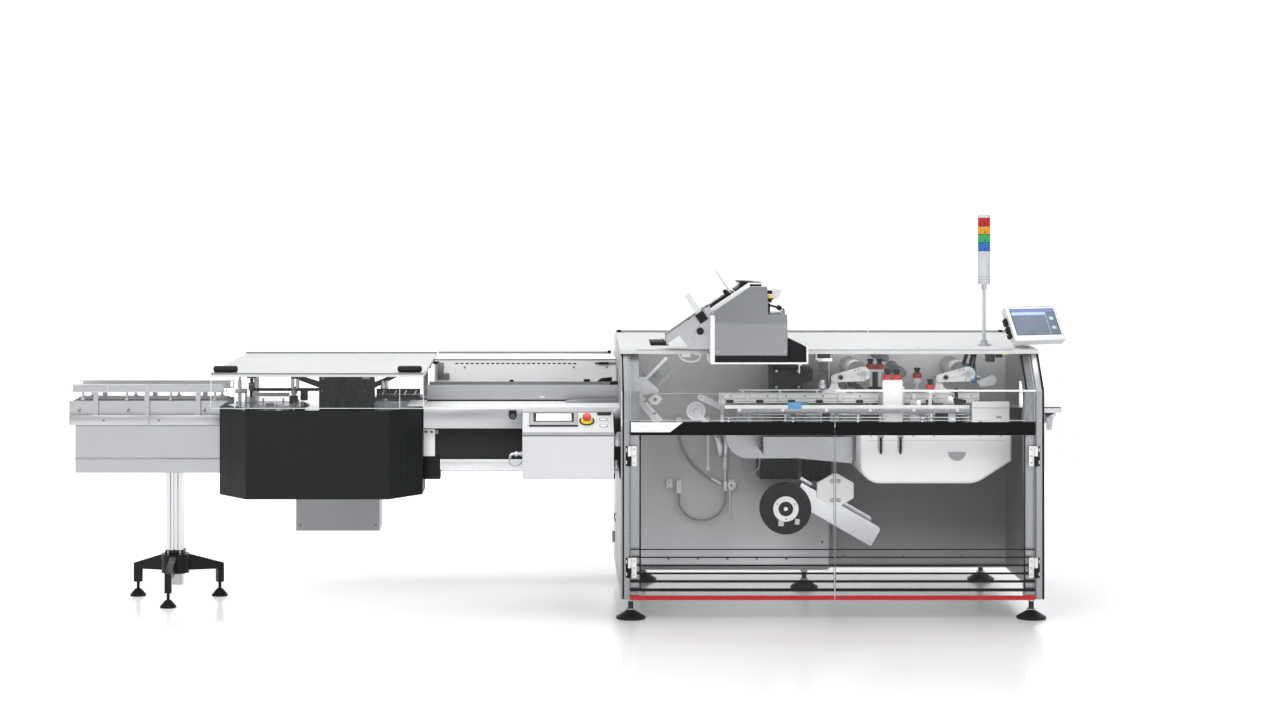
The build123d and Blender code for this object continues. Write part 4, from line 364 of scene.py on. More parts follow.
MAT["door_fittings"] = banded(
    "door_band", 0.24, "Z",
    [0.09, (DOOR_BOTTOM + 4) * MM, (DOOR_TOP - BAND_HEIGHT - 1) * MM, 0.94],
    [SIGNAL_RED, (0.74, 0.74, 0.73), (0.006, 0.006, 0.0065)], 0.1,
)
MAT["drives"] = banded(
    "drive_cases", 0.4, "X", [0.90, 1.33, 2.10], [(0.012, 0.013, 0.014), grey(0.50)], 0.15
)
FOOT_TONES = [(0.013, 0.013, 0.014), (0.05, 0.05, 0.052)]
MAT["feet"] = banded("foot_black", 0.4, "Z", [0.0, 0.05, 0.11], FOOT_TONES)
lens_low, lens_high = (height * MM for height in span("light_tower_lenses", "Z"))
LENS_STEP = (lens_high - lens_low) / 4
MAT["lens"] = banded(
    "tower_lens", 0.2, "Z",
    [*(lens_low + level * LENS_STEP for level in range(4)), lens_high],
    [LENS_BLUE, LENS_GREEN, LENS_AMBER, LENS_RED], 0.5,
)

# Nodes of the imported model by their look
NODES_OF_LOOK = {
    "knob_red": "adjuster_knobs",
    "white_plastic": "adjuster_posts air_fittings guide_bar",
    "hose": "air_hoses",
    "wall": "back_walls",
    "white_lit": "bearing_plate rear_cover",
    "machined": "bucket_chain hood_posts operator_panel_post",
    "panel_steel": "bucket_channel infeed_conveyor rear_housing",
    "bright": "carton_track outfeed_conveyor reject_chute rotary_table station_frame",
    "white": "closing_cover feeder_frame transfer_table",
    "box_white_shaded": "control_box",
    "belt": "conveyor_belt",
    "feeder_steel": "feeder_housing",
    "black": "feeder_plinth pick_column tripod_base",
    "post": "front_posts",
    "black_plastic": "hinge_posts hood_handles magazine_fittings reel",
    "clear": "hood_panes outfeed_guard upper_guards",
    "cover_white_shaded": "infeed_hood top_cover",
    "charcoal": "infeed_skirt",
    "door_fittings": "left_door_fittings right_door_fittings",
    "feet": "levelling_feet",
    "arm_white": "lift_arm_left lift_arm_right",
    "silver_plastic": "light_tower_body",
    "lens": "light_tower_lenses",
    "door": "lower_left_door lower_right_door",
    "magazine": "magazine_arm",
    "frosted": "magazine_guides",
    "light_grey": "operator_panel",
    "aluminium": "pusher_linkage stand_column",
    "side_wall": "side_walls",
    "sump": "steel_sump",
    "trough": "steel_trough",
    "red": "stop_button",
    "yellow": "stop_collar",
    "beam": "transfer_beam",
    "drives": "wall_drives",
}
for look_name, node_names in NODES_OF_LOOK.items():
    for node_name in node_names.split():
        mesh = NODES[node_name].data
        mesh.materials.clear()
        mesh.materials.append(MAT[look_name])
        mesh.shade_smooth()
        mesh.set_sharp_from_angle(angle=math.radians(28))


# Shapes

PIECES = []


class Piece:
    """Shapes in millimetres and depths, gathered in one mesh that rides on a body."""

    def __init__(self, name, look, body="frame"):
        self.name = name
        self.look = look
        self.body = body
        self.mesh = bmesh.new()
        self.local = Matrix.Identity(4)
        PIECES.append(self)

    def at(self, origin=(0, 0, 0), turn=(0, 0, 0)):
        """Stand the next shapes in a turned frame whose origin is given."""
        rotation = Euler([math.radians(angle) for angle in turn], "XYZ").to_matrix()
        self.local = Matrix.Translation(origin) @ rotation.to_4x4()
        return self

    def axes(self, origin, right, up):
        """Stand the next shapes in a frame given by its right and its upward direction."""
        inward = Vector(up).cross(Vector(right))
        turned = Matrix((right, inward, up)).transposed().to_4x4()
        self.local = Matrix.Translation(origin) @ turned
        return self

    def ring(self, places):
        """Add points, placed by the present frame."""
        return [self.mesh.verts.new(self.local @ Vector(place)) for place in places]

    def prism(self, outline, limits, axis="Y", edge=0.8):
        """Carry an outline along an axis and soften its edges."""
        spot = "XYZ".index(axis)
        rings = []
        for level in limits:
            rings.append(self.ring([(*point[:spot], level, *point[spot:]) for point in outline]))
        faces = [self.mesh.faces.new(ring) for ring in rings]
        for side in range(len(outline)):
            corners = (rings[0][side], rings[0][side - 1], rings[1][side - 1], rings[1][side])
            faces.append(self.mesh.faces.new(corners))
        if edge:
            edges = list({line for face in faces for line in face.edges})
            bmesh.ops.recalc_face_normals(self.mesh, faces=faces)
            bmesh.ops.bevel(self.mesh, geom=edges, offset=edge, segments=2, profile=0.5, affect="EDGES")
        return self

    def box(self, x, depth, z, edge=0.8):
        """A block with softened edges."""
        corners = ((x[0], z[0]), (x[1], z[0]), (x[1], z[1]), (x[0], z[1]))
        return self.prism(corners, depth, "Y", edge)

    def turn(self, profile, origin, direction=TO_FRONT, sides=32, ring=False):
        """Turn a profile of radii and heights about a line; a ring's profile closes on itself."""
        facing = Vector(direction).normalized().to_track_quat("Z", "Y")
        rings = []
        for radius, height in profile:
            places = []
            for side in range(sides):
                angle = math.tau * side / sides
                spot = Vector((radius * math.cos(angle), radius * math.sin(angle), height))
                spot.rotate(facing)
                places.append(Vector(origin) + spot)
            rings.append(self.ring(places))
        pairs = list(zip(rings, rings[1:]))
        if ring:
            pairs.append((rings[-1], rings[0]))
        else:
            self.mesh.faces.new(rings[0])
            self.mesh.faces.new(rings[-1])
        for lower, upper in pairs:
            for side in range(sides):
                self.mesh.faces.new((lower[side - 1], lower[side], upper[side], upper[side - 1]))
        return self

    def disc(self, place, radius, height, direction=TO_FRONT, edge=0.5, sides=32):
        """A short turned cylinder with a rounded rim, standing on a face."""
        profile = [
            (radius, 0),
            (radius, height - edge),
            (radius - 0.3 * edge, height - 0.3 * edge),
            (radius - edge, height),
        ]
        return self.turn(profile, place, direction, sides)

    def rod(self, start, end, radius, edge=0.6, sides=20):
        """A round bar between two points."""
        line = Vector(end) - Vector(start)
        profile = [
            (radius - edge, 0),
            (radius, edge),
            (radius, line.length - edge),
            (radius - edge, line.length),
        ]
        return self.turn(profile, start, line, sides)

    def washer(self, place, inner, outer, height, direction=TO_FRONT, edge=0.4, sides=40):
        """A flat ring standing on a face."""
        profile = [
            (inner, 0),
            (outer, 0),
            (outer, height - edge),
            (outer - edge, height),
            (inner + edge, height),
            (inner, height - edge),
        ]
        return self.turn(profile, place, direction, sides, True)

    def screw(self, place, radius, direction=TO_FRONT):
        """A cap screw on a washer, with a rounded head and a hollow for the key."""
        self.disc(place, radius * 1.35, radius * 0.22, direction, 0.3, 20)
        profile = [
            (radius, 0),
            (radius, radius * 0.75),
            (radius * 0.85, radius * 0.95),
            (radius * 0.5, radius * 0.95),
            (radius * 0.42, radius * 0.55),
        ]
        return self.turn(profile, place, direction, 18)

    def tube(self, points, radius, sides=12, steps=6):
        """A round bar bent smoothly through points."""
        ends = [Vector(point) for point in (points[0], *points, points[-1])]
        route = []
        for first, start, end, last in zip(ends, ends[1:], ends[2:], ends[3:]):
            for step in range(steps):
                t = step / steps
                route.append(
                    0.5 * (2 * start + (end - first) * t + (2 * first - 5 * start + 4 * end - last) * t * t
                           + (3 * start - first - 3 * end + last) * t ** 3)
                )
        route.append(ends[-1])
        rings = []
        across = None
        for number, spot in enumerate(route):
            before, after = route[max(0, number - 1)], route[min(len(route) - 1, number + 1)]
            heading = (after - before).normalized()
            if across is None:
                across = heading.orthogonal()
            across = (across - heading * across.dot(heading)).normalized()
            third = heading.cross(across)
            places = []
            for side in range(sides):
                angle = math.tau * side / sides
                places.append(spot + radius * (across * math.cos(angle) + third * math.sin(angle)))
            rings.append(self.ring(places))
        for lower, upper in zip(rings, rings[1:]):
            for side in range(sides):
                self.mesh.faces.new((lower[side - 1], lower[side], upper[side], upper[side - 1]))
        self.mesh.faces.new(rings[0])
        self.mesh.faces.new(rings[-1])
        return self

    def done(self):
        """Turn the shapes into an object that rides on its body."""
        bmesh.ops.recalc_face_normals(self.mesh, faces=self.mesh.faces)
        for vertex in self.mesh.verts:
            x, depth, z = vertex.co
            vertex.co = (x * MM, (FRONT + depth) * MM, z * MM)
        data = bpy.data.meshes.new(self.name)
        self.mesh.to_mesh(data)
        self.mesh.free()
        data.shade_smooth()
        data.set_sharp_from_angle(angle=math.radians(35))
        data.materials.append(MAT[self.look])
        piece = bpy.data.objects.new(self.name, data)
        bpy.context.scene.collection.objects.link(piece)
        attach(piece, self.body)


def circle(centre, radius, start=0, end=360, steps=24):
    """Points of an arc in a flat outline."""
    angles = [math.radians(start + (end - start) * step / steps) for step in range(steps + 1)]
    across, up = centre
    points = [(across + radius * math.cos(angle), up + radius * math.sin(angle)) for angle in angles]
    return points[:-1] if end - start == 360 else points


def spread(centre, radius, count, start=0):
    """Places shared out evenly round a centre, from an angle on."""
    return circle(centre, radius, start, start + 360, count)


def around(middle, reach):
    """Limits on both sides of a middle."""
    return (middle - reach, middle + reach)


# Cabinet front: doors, guards, posts and the roof's edge

STRIPES = ((334, 5.6), (297, 6.6), (259, 8.5), (221, 10), (183.5, 12), (143.5, 15))
HINGE_HEIGHTS = (248, 773)
HINGE_GAP = 2.5
FACE = (-0.8, 0.3)


def dress_door(side, away, short_stripes, stripe_gap):
    """Printed stripes, seal, polished edges and hinge screws of one lower door."""
    body = side + "_door"
    left, right = span("lower_" + body, "X")
    near, far = (left, right) if away > 0 else (right, left)
    pane_top = DOOR_TOP - BAND_HEIGHT
    pane_z = (DOOR_BOTTOM + RAIL_HEIGHT, pane_top)
    seal_x = sorted((near + away * 44, near + away * 52))
    pin_x = near - away * HINGE_GAP
    printed = Piece(body + "_stripes", "black_gloss", body)
    for height, thickness in STRIPES:
        start = near + away * (stripe_gap if height in short_stripes else 0)
        printed.box(sorted((start, far)), (2.3, 3.2), around(height, thickness / 2), 0.3)
    edges = Piece(body + "_edges", "door_edge", body)
    for x in (left, right - 3):
        edges.box((x, x + 3), (PANE_FRONT - 0.4, PANE_REAR + 0.4), pane_z, 0.6)
    seal = Piece(body + "_seal", "rubber", body)
    seal.box(seal_x, (PANE_REAR, 15.6), (DOOR_BOTTOM + 24, pane_top), 1.5)
    screws = Piece(body + "_hinge_screws", "machined", body)
    caps = Piece(body + "_hinge_caps", "black_gloss")
    faces = Piece(body + "_hinge_cap_faces", "white_plastic")
    for centre in HINGE_HEIGHTS:
        for height in (centre - 32, centre, centre + 32):
            screws.screw((pin_x + away * 22, -3, height), 3.6)
        for height in (centre - 29, centre + 29):
            caps.box(sorted((pin_x - away * 10, pin_x - away * 18)), (-5, -3), around(height, 12), 0.8)
            faces.box(sorted((pin_x - away * 12, pin_x - away * 16)), (-5.6, -5), around(height, 8), 0.2)


def dress_guards():
    """Fold line, a painted highlight along the fold, seams and painted highlights on the edges of the two
    upper guards, and their side seals.
    """
    left, right = span("upper_guards", "X")
    sheet = (7.4, 16.6)
    line_x, strip_x = (left + 30, GUARD_SEAM_X - 3), (GUARD_SEAM_X + 3, right + 8)
    Piece("guard_fold_line", "grey_plastic").box(line_x, (7.2, 8.2), (1064.5, 1067.5), 0.3)
    # White strip along the fold: painted highlight.
    Piece("guard_fold_highlight", "white_plastic").box(strip_x, (6.6, 8.2), (1075, 1084), 0.4)
    # Lighter strips along the guards' edges: painted highlight.
    edges = Piece("guard_edge_highlights", "edge")
    for x in (left, right - 3):
        edges.at().box((x, x + 3), sheet, (GUARD_BOTTOM, FOLD_Z - 1), 0.6)
        edges.at(*LEANING).box((x, x + 3), (5.3, 12.4), (4, LEAN_LENGTH - 4), 0.6)
    edges.at().box((left, right), sheet, (GUARD_BOTTOM, GUARD_BOTTOM + 3), 0.5)
    seals = Piece("guard_side_seals", "black_gloss").at(*LEANING)
    seals.box((2142, 2150), (4.6, 6.2), (8, LEAN_LENGTH - 6), 0.5)


def dress_posts():
    """Black edge strips, painted highlights on corner faces and the screws of the front posts."""
    strips = Piece("post_edge_strips", "black_gloss")
    for x in ((243, 251), (2216, 2226)):
        strips.at().box(x, FACE, (FRAME_BOTTOM + 2, FOLD_Z), 0.3)
        strips.at(*LEANING).box(x, FACE, (0, LEAN_LENGTH - 2), 0.3)
    # Strips of a lighter metal on the post faces: painted highlight.
    light = Piece("post_highlight_strips", "aluminium")
    light.box((236.5, 242), (-0.6, 0.3), (912, FOLD_Z), 0.2)
    light.at(*LEANING).box((2192, 2214), (-0.6, 0.3), (2, LEAN_LENGTH - 2), 0.2)
    screws = Piece("post_screws", "machined")
    for x in (262, 2204):
        for height in (150, 420, 620, 940):
            screws.screw((x, 0, height), 3.2)


def dress_roof():
    """Seams, rolled rear edge, lip, hinge clamps and screws of the top cover."""
    cover = ((0, LEAN_DEPTH, COVER_FRONT_Z), (math.degrees(COVER_SLOPE), 0, 0))
    cover_length = 851
    feeder_left, feeder_right = span("feeder_frame", "X")
    seams = Piece("cover_seams", "grey_plastic").at(*cover)
    for x in ((CABINET_LEFT + 2, feeder_left - 3), (feeder_right + 3, CABINET_RIGHT - 2)):
        for depth in ((105, 107.5), (cover_length - 34, cover_length - 31)):
            seams.box(x, depth, (-0.4, 0.5), 0.2)
    lip = Piece("cover_lip_band", "light_grey")
    line = Piece("cover_lip_line", "black_gloss")
    for x in ((311, feeder_left - 4), (feeder_right + 4, 2095)):
        lip.box(x, (137, 138.2), (COVER_FRONT_Z - COVER_SHEET, COVER_FRONT_Z - 2.6), 0.2)
        line.box(x, (136.8, 138.2), (COVER_FRONT_Z - 2.4, COVER_FRONT_Z - 0.4), 0.2)
    roll = Piece("cover_roll_trim", "mid_grey")
    for start, end in ((CABINET_LEFT + 3, 1520), (1526, CABINET_RIGHT - 3)):
        roll.rod((start, 1000, 1297), (end, 1000, 1297), 9.5)
    clamps = Piece("cover_clamps", "black_plastic")
    for x in (244, 2188):
        clamps.box((x, x + 20), (986, 1012), (1284, 1309), 2)
    screws = Piece("cover_screws", "machined")
    for x in (270, 460, 1180, 1420, 1660, 1900, 2150):
        for depth in (950, 190):
            screws.screw((x, depth, cover_z(depth)), 4, UP)
    rim = Piece("cover_slot_rim", "rubber").at(*cover)
    for x in ((388, 393), (471, 476)):
        rim.box(x, (177, 323), (-0.5, 2.2), 0.6)
    for depth in ((175, 180), (320, 325)):
        rim.box((388, 476), depth, (-0.5, 2.2), 0.6)
    rim.box((393.6, 470.4), (317.4, 319.6), (-19, 0), 0.2)
    rim.box((390, 474), (322, 468), (-0.4, 1.6), 0.6)


def dress_band():
    """The bare light field at the left end of the door's black band."""
    outline = ((283, 885), (467, 885), (528, 932), (283, 932))
    Piece("band_plate", "white", "left_door").prism(outline, (-0.8, 0.2), "Y", 0.3)


def dress_tower():
    """Seams, cap, foot collar and cable gland of the light tower."""
    left, right = span("light_tower_lenses", "X")
    x, radius = (left + right) / 2, (right - left) / 2
    depth = sum(span("light_tower_lenses", "Y")) / 2
    low, high = span("light_tower_lenses", "Z")
    lens = (high - low) / 4
    cap = [(radius + 0.6, 0), (radius + 0.6, 10), (radius - 2, 15), (radius - 10, 17)]
    Piece("tower_cap", "silver_plastic").turn(cap, (x, depth, high - 1), UP)
    seams = Piece("tower_seams", "black_plastic")
    for level in range(5):
        seams.washer((x, depth, low + level * lens - 1.2), radius - 1, radius + 0.7, 2.4, UP)
    front = (depth - radius - 1.4, depth - radius + 1)
    for level in range(4):
        height = low + (level + 0.5) * lens
        seams.box(around(x, 3), front, (height - 12, height - 5), 0.6)
    ribs = Piece("tower_ribs", "grey_plastic")
    for height in (1576, 1590, 1604):
        ribs.washer((x, depth, height), radius - 1, radius + 0.8, 3, UP)
    for height in (1640, 1660):
        ribs.disc((x + 12, depth - radius + 3, height), 4, 4)
    collar = Piece("tower_collar", "machined")
    base = cover_z(depth)
    for foot, inner, outer, height in ((base, 9, 34, 5), (base + 5, 8.6, 16, 22), (1541, 8.6, 13, 24)):
        collar.washer((x, depth, foot), inner, outer, height, UP)
    bolts = Piece("tower_bolts", "machined")
    for spot in spread((x, depth), 26, 4, 45):
        bolts.screw((*spot, base + 5), 3, UP)


PANEL_YAW = math.radians(22)
PANEL_TILT = math.radians(32)
PANEL_CENTRE = (2219, 185, 1386)


def dress_panel():
    """Screen, bezel lines and the rear clamps of the operator panel."""
    right = Vector((math.cos(PANEL_YAW), math.sin(PANEL_YAW), 0))
    outward = Vector((
        math.sin(PANEL_YAW) * math.cos(PANEL_TILT),
        -math.cos(PANEL_YAW) * math.cos(PANEL_TILT),
        math.sin(PANEL_TILT),
    ))

    def panel_piece(name, look):
        """A piece in the panel's own frame, which rides on it."""
        return Piece(name, look, "panel").axes(PANEL_CENTRE, right, outward.cross(right))

    for name, look, x, z, front, edge in (
        ("panel_face", "white", (-139, 139), (-92, 92), -1.2, 3),
        ("panel_gasket", "black_gloss", (-121, 126), (-63, 80), -1.6, 1),
        ("panel_screen", "screen_body", (-117, 122), (-60, 77), -2.0, 0.4),
        ("panel_screen_side", "screen_side", (72, 122), (-60, 62), -2.4, 0.2),
        ("panel_screen_band", "screen_band", (-117, 70), (45, 61), -2.4, 0.2),
        ("panel_screen_head", "screen_head", (-117, 122), (62, 77), -2.4, 0.2),
    ):
        panel_piece(name, look).box(x, (front, 0.4), z, edge)
    marks = panel_piece("panel_marks", "screen_band")
    marks.box((69, 71.5), (-2.6, -2), (-60, 62), 0.2)
    for low in (18, -32):
        marks.box((86, 108), (-2.8, -2.2), (low, low + 16), 0.2)
    clamps = panel_piece("panel_rear_clamps", "black_plastic")
    for z in ((-66, -44), (-38, -8), (0, 36)):
        clamps.box((-156, -138), (8, 34), z, 2)
    clamps.box((-70, 70), (36, 50), (-40, 40), 6)
    for line in range(7):
        clamps.box((-60, 60), (36, 53), (-34 + 11 * line, -31 + 11 * line), 0.8)
    screws = panel_piece("panel_screws", "machined")
    for x in (-128, 128):
        for z in (-82, 82):
            screws.screw((x, 36, z), 4, TO_BACK)
    knob = Piece("panel_clamp_knob", "black_plastic")
    post = tuple(sum(span("operator_panel_post", axis)) / 2 for axis in "XY")
    knob.rod((post[0] + 16, post[1] - 6, 1292), (post[0] + 42, post[1] - 14, 1292), 5)
    knob.disc((post[0] + 40, post[1] - 13, 1292), 11, 14, (1, -0.3, 0), 3)
    for spot in spread(post, 25, 4, 45):
        knob.screw((*spot, 1279), 3.4, UP)


# Leaflet feeder and its magazine

SLOPE_FOOT = Vector((657, 0, 1461.7))
SLOPE_BEND = Vector((842, 0, 1585))
MAGAZINE = ((452, 40, 1296), (0, -34.56, 0))
MAGAZINE_LENGTH = 249


def dress_feeder():
    """Edges, seams, belt stack and the small parts at the step of the leaflet feeder."""
    rims = Piece("feeder_rims", "dark_steel")
    rims.box((677, 1019), (-1, 0.3), (1245, 1248.5), 0.3)
    rims.box((1015, 1019), (-1, 0.3), (1245, 1396), 0.3)
    rims.box((677, 1019), (-1.2, 0.3), (1394, 1399), 0.4)
    rollers = Piece("feeder_slope_rollers", "black_plastic")
    for number in range(9):
        x, _, z = SLOPE_FOOT + (SLOPE_BEND - SLOPE_FOOT) * (0.3 + 0.075 * number)
        rollers.rod((x, 80, z + 5), (x, 250, z + 5), 4 + 2 * (number % 2))
    rollers.box((790, 842), (84, 246), (1585, 1591), 1)
    strips = Piece("feeder_cap_strips", "black_gloss")
    strips.box((848, 902), (73, 76), (1568, 1578), 0.5)
    strips.box((850, 905), (78, 255), (1584, 1588), 0.8)
    outline = ((957.6, 1555.5), (1003.6, 1550.7), (987, 1511.8), (952.9, 1497.6))
    Piece("feeder_step_plate", "frosted").prism(outline, (100, 104), "Y", 0.6)
    Piece("feeder_step_block", "yellow").box((930, 953), (92, 118), (1510, 1527), 1.2)
    levers = Piece("feeder_step_levers", "black_plastic")
    levers.prism(((930, 1518), (958, 1512), (951, 1488), (930, 1494)), (96, 126), "Y", 1)
    levers.box((930, 956), (98, 108), (1530, 1548), 1.5)
    levers.rod((938, 110, 1490), (941, 110, 1437), 3)
    levers.rod((930, 150, 1480), (996, 150, 1462), 5)
    levers.disc((990, 100, 1464), 12, 60, TO_BACK, 2)
    table = Piece("feeder_step_table", "feeder_steel")
    table.box((932, 1014), (75, 250), (1437, 1442), 1)
    table.box((1008, 1014), (75, 250), (1437, 1462), 1)
    screws = Piece("feeder_screws", "machined")
    for x, z in ((690, 1262), (1004, 1262), (1004, 1384)):
        screws.screw((x, 0, z), 3.6)
    for x in (740, 830, 905):
        screws.screw((x, 258, 1500), 4, TO_BACK)
    Piece("feeder_rear_door", "feeder_steel").box((700, 1000), (258, 261), (1260, 1425), 1.5)
    Piece("feeder_rear_latch", "black_plastic").box((960, 984), (261, 270), (1325, 1365), 3)


def dress_magazine():
    """Grooves, screws and leaflet rails of the inclined magazine."""
    grooves = Piece("magazine_grooves", "grey_plastic").at(*MAGAZINE)
    for rise in (7, 16, 24):
        grooves.box((6, MAGAZINE_LENGTH - 8), (-0.6, 0.4), (rise, rise + 2), 0.3)
    rails = Piece("magazine_inner_rails", "magazine").at(*MAGAZINE)
    for depth in (46, 84, 122):
        rails.box((4, MAGAZINE_LENGTH - 6), (depth, depth + 8), (6, 16), 1)
    stop = Piece("magazine_end_stop", "black_plastic").at(*MAGAZINE)
    stop.box((-4, 0), (8, 170), (2, 26), 1)
    stop.box((150, 164), (50, 130), (6, 34), 2)
    screws = Piece("magazine_screws", "machined").at(*MAGAZINE)
    for run in (18, 120, 176, 236):
        screws.screw((run, 0, 32), 3.2)
    screws.at()
    for x, z in ((627, 1364), (637, 1352), (573, 1326), (581, 1312)):
        screws.screw((x, 40, z), 3)
    Piece("magazine_knob_face", "rubber").disc((611, 22, 1358), 7, 1.2)


# Inside the cabinet, above the track

ARM_FRONT = 385
ARM_STEP = 510
BAR_LEFT, BAR_RIGHT = 732, 1981


def dress_arms():
    """Clamp screws, slots and stop knobs of the two lifting arms."""
    for body, shift in (("arm_left", 0), ("arm_right", ARM_STEP)):
        knob = Piece(body + "_knob", "black_plastic", body)
        knob.disc((1313 + shift, ARM_FRONT, 1114), 11, 15, edge=2)
        for x, z in ((1263, 1113), (1382, 1146), (1400, 1150)):
            knob.disc((x + shift, ARM_FRONT, z), 3.2, 1.2)
        screws = Piece(body + "_screws", "machined", body)
        screws.washer((1421 + shift, ARM_FRONT, 1130), 8, 17, 4)
        for x, z in ((1283, 1109), (1410, 1104), (1434, 1104), (1446, 1130), (1397, 1128)):
            screws.screw((x + shift, ARM_FRONT, z), 4.4)
        outline = [(x + shift, z) for x, z in ((1300, 1108), (1385, 1117), (1385, 1127), (1300, 1115))]
        Piece(body + "_web", "arm_white", body).prism(outline, (ARM_FRONT - 4, ARM_FRONT + 1), "Y", 1.5)


def dress_bar():
    """Groove, clamp blocks and the two round rails that the guide bar carries."""
    grooves = Piece("bar_grooves", "grey_plastic", "bar")
    for height in (992, 1008, 1030):
        grooves.box((BAR_LEFT, BAR_RIGHT), (404.2, 405.3), (height, height + 2.2), 0.3)
    rails = Piece("bar_rails", "white", "bar")
    rails.rod((820, 412, 1049), (1922, 412, 1049), 4.5)
    for x in range(840, 1920, 180):
        rails.box(around(x, 5), (407, 417), (1036, 1045), 1)
    blocks = Piece("bar_clamps", "black_plastic", "bar")
    for x in (760, 905, 1060, 1195, 1390, 1560, 1730, 1890):
        blocks.box((x, x + 34), (398, 405), (988, 1003), 1.2)
    caps = Piece("bar_caps", "white", "bar")
    for x in (BAR_LEFT - 8, BAR_RIGHT + 2):
        caps.box((x, x + 7), (400, 443), (984, 1040), 2)
    for x in (850, 1010, 1300, 1480, 1660, 1830):
        caps.box((x, x + 22), (396, 405), (996, 1030), 1.5)
    screws = Piece("bar_screws", "dark_steel", "bar")
    for x in range(780, 1960, 90):
        screws.screw((x, 405, 1021), 3.2)


def dress_knobs():
    """Black caps and waists of the red adjuster knobs, their bases and ribs, the posts' gap plate and
    scales.
    """
    black = Piece("knob_caps", "black_plastic")
    white = Piece("knob_bases", "white_plastic")
    ribs = Piece("knob_ribs", "knob_red")
    waist = [(14, 28.2), (12.8, 29), (11.4, 37), (17.4, 50.2), (15.8, 52.9), (4, 53.2)]
    for x, depth, z in (
        (1475, 520, 1141), (1519, 520, 1141), (1532, 332.5, 1103),
        (1579, 332.5, 1103), (1704, 520, 1097), (1742, 350, 1054),
    ):
        black.turn(waist, (x, depth, z), UP)
        white.washer((x, depth, z - 0.2), 12, 22.5, 3.4, UP, 0.8)
        for spot in spread((x, depth), 20.2, 16):
            ribs.rod((*spot, z + 5), (*spot, z + 24), 1.3, 0.4, 8)
    gap = Piece("post_gap_plate", "black_plastic")
    gap.box((1486, 1508), (512, 528), (TRACK_TOP, 1131), 1)
    gap.box((1466, 1528), (505, 535), (1046, 1058), 1.5)
    scales = Piece("post_scales", "machined")
    scales.box((1504, 1508), (303, 309), (925, 1100), 0.5)
    scales.box((1602, 1612), (316, 344), (930, 1075), 1)
    for level in range(14):
        scales.box((1604, 1612.6), (315.6, 318), (940 + 9 * level, 942 + 9 * level), 0.2)
    scales.box((1470, 1480), (538, 556), (TRACK_TOP, 1131), 1)


def dress_track():
    """Guide strips, sensors, clamps and carton lugs on the track."""
    strip = Piece("track_guide_strip", "white_plastic")
    strip.box((742, 1922), (264, 268), (972, 989), 1)
    for x in range(812, 1900, 210):
        strip.box(around(x, 7), (268, 274), (958, 982), 1)
    rods = Piece("track_rods", "bright")
    rods.rod((830, 310, 940), (1922, 310, 940), 4.5)
    rods.rod((742, 266, 930), (2000, 266, 930), 3)
    for x in range(860, 1920, 176):
        rods.box(around(x, 5), (305, 315), (TRACK_TOP, 936), 1)
    for x in range(760, 2000, 310):
        rods.box(around(x, 4), (262, 270), (TRACK_TOP, 928), 0.8)
    lugs = Piece("track_lugs", "grey_plastic")
    for x in range(812, 2031, 58):
        lugs.box((x, x + 8), (420, 432), (TRACK_TOP, 962), 1.5)
        lugs.box((x - 3, x + 11), (416, 436), (TRACK_TOP, 916), 1)
    blocks = Piece("track_blocks", "black_plastic")
    for x, depth, top in (
        ((1400, 1490), (286, 300), 938),
        ((1216, 1252), (285, 300), 950),
        ((1762, 1822), (300, 330), 962),
        ((980, 1040), (330, 372), 957),
        ((1960, 2050), (330, 372), 1002),
        ((1842, 1900), (340, 380), 1010),
    ):
        blocks.box(x, depth, (TRACK_TOP, top), 2)
    blocks.disc((1011, 330, 936), 12, 6)
    blocks.rod((1870, 360, 1010), (1870, 360, 1062), 9)
    plates = Piece("track_plates", "machined")
    plates.box((1640, 1690), (300, 306), (TRACK_TOP, 1010), 1.5)
    plates.box((1655, 1675), (306, 330), (990, 1004), 1)
    plates.prism(((1792, 970), (1862, 970), (1842, 1028), (1810, 1028)), (312, 318), "Y", 1)
    plates.box((1796, 1858), (306, 312), (TRACK_TOP, 980), 1)
    plates.rod((1826, 318, 1005), (1826, 352, 1005), 8)
    plates.box((1150, 1290), (455, 465), (TRACK_TOP, 945), 1)
    Piece("track_sensors", "blue").box((1046, 1112), (262, 300), (970, 1001), 2)
    eyes = Piece("track_sensor_eyes", "teal").box((1117, 1146), (270, 298), (970, 1003), 2)
    eyes.disc((1132, 270, 990), 7, 4)
    post = Piece("track_end_post", "machined")
    post.box((724, 742), (300, 326), (890, 1010), 1.5)
    post.box((722, 752), (296, 330), (1010, 1030), 2)


def dress_lamp():
    """Motor case, plate and fittings of the lamp that hangs under the header."""
    Piece("lamp_plate", "black_plastic").box((1190, 1250), (283, 290.5), (1213, 1240), 1.5)
    base = Piece("lamp_base", "white_plastic")
    base.box((1212, 1262), (284, 322), (1198, 1213), 1.5)
    base.box((1193, 1201), (300, 312), (1119, 1200), 1)
    motor = Piece("lamp_motor", "brown_motor")
    motor.box((1194, 1236), (288, 324), (1112, 1198), 4)
    for level in range(6):
        motor.box((1192, 1238), (286, 326), (1124 + 12 * level, 1129 + 12 * level), 1)
    collar = [(12, 0), (16, 4), (16, 22), (20, 26), (20, 44), (9, 54), (9, 60)]
    Piece("lamp_collar", "machined").turn(collar, (1215, 306, 1112), DOWN)
    drop = Piece("feeder_frame_drop", "white")
    drop.box((1109, 1117), (286, 298), (1184, 1250), 1)
    drop.box((1096, 1117), (286, 298), (1178, 1186), 1)
    drop.box((1100, 1106), (288, 294), (1140, 1186), 1)


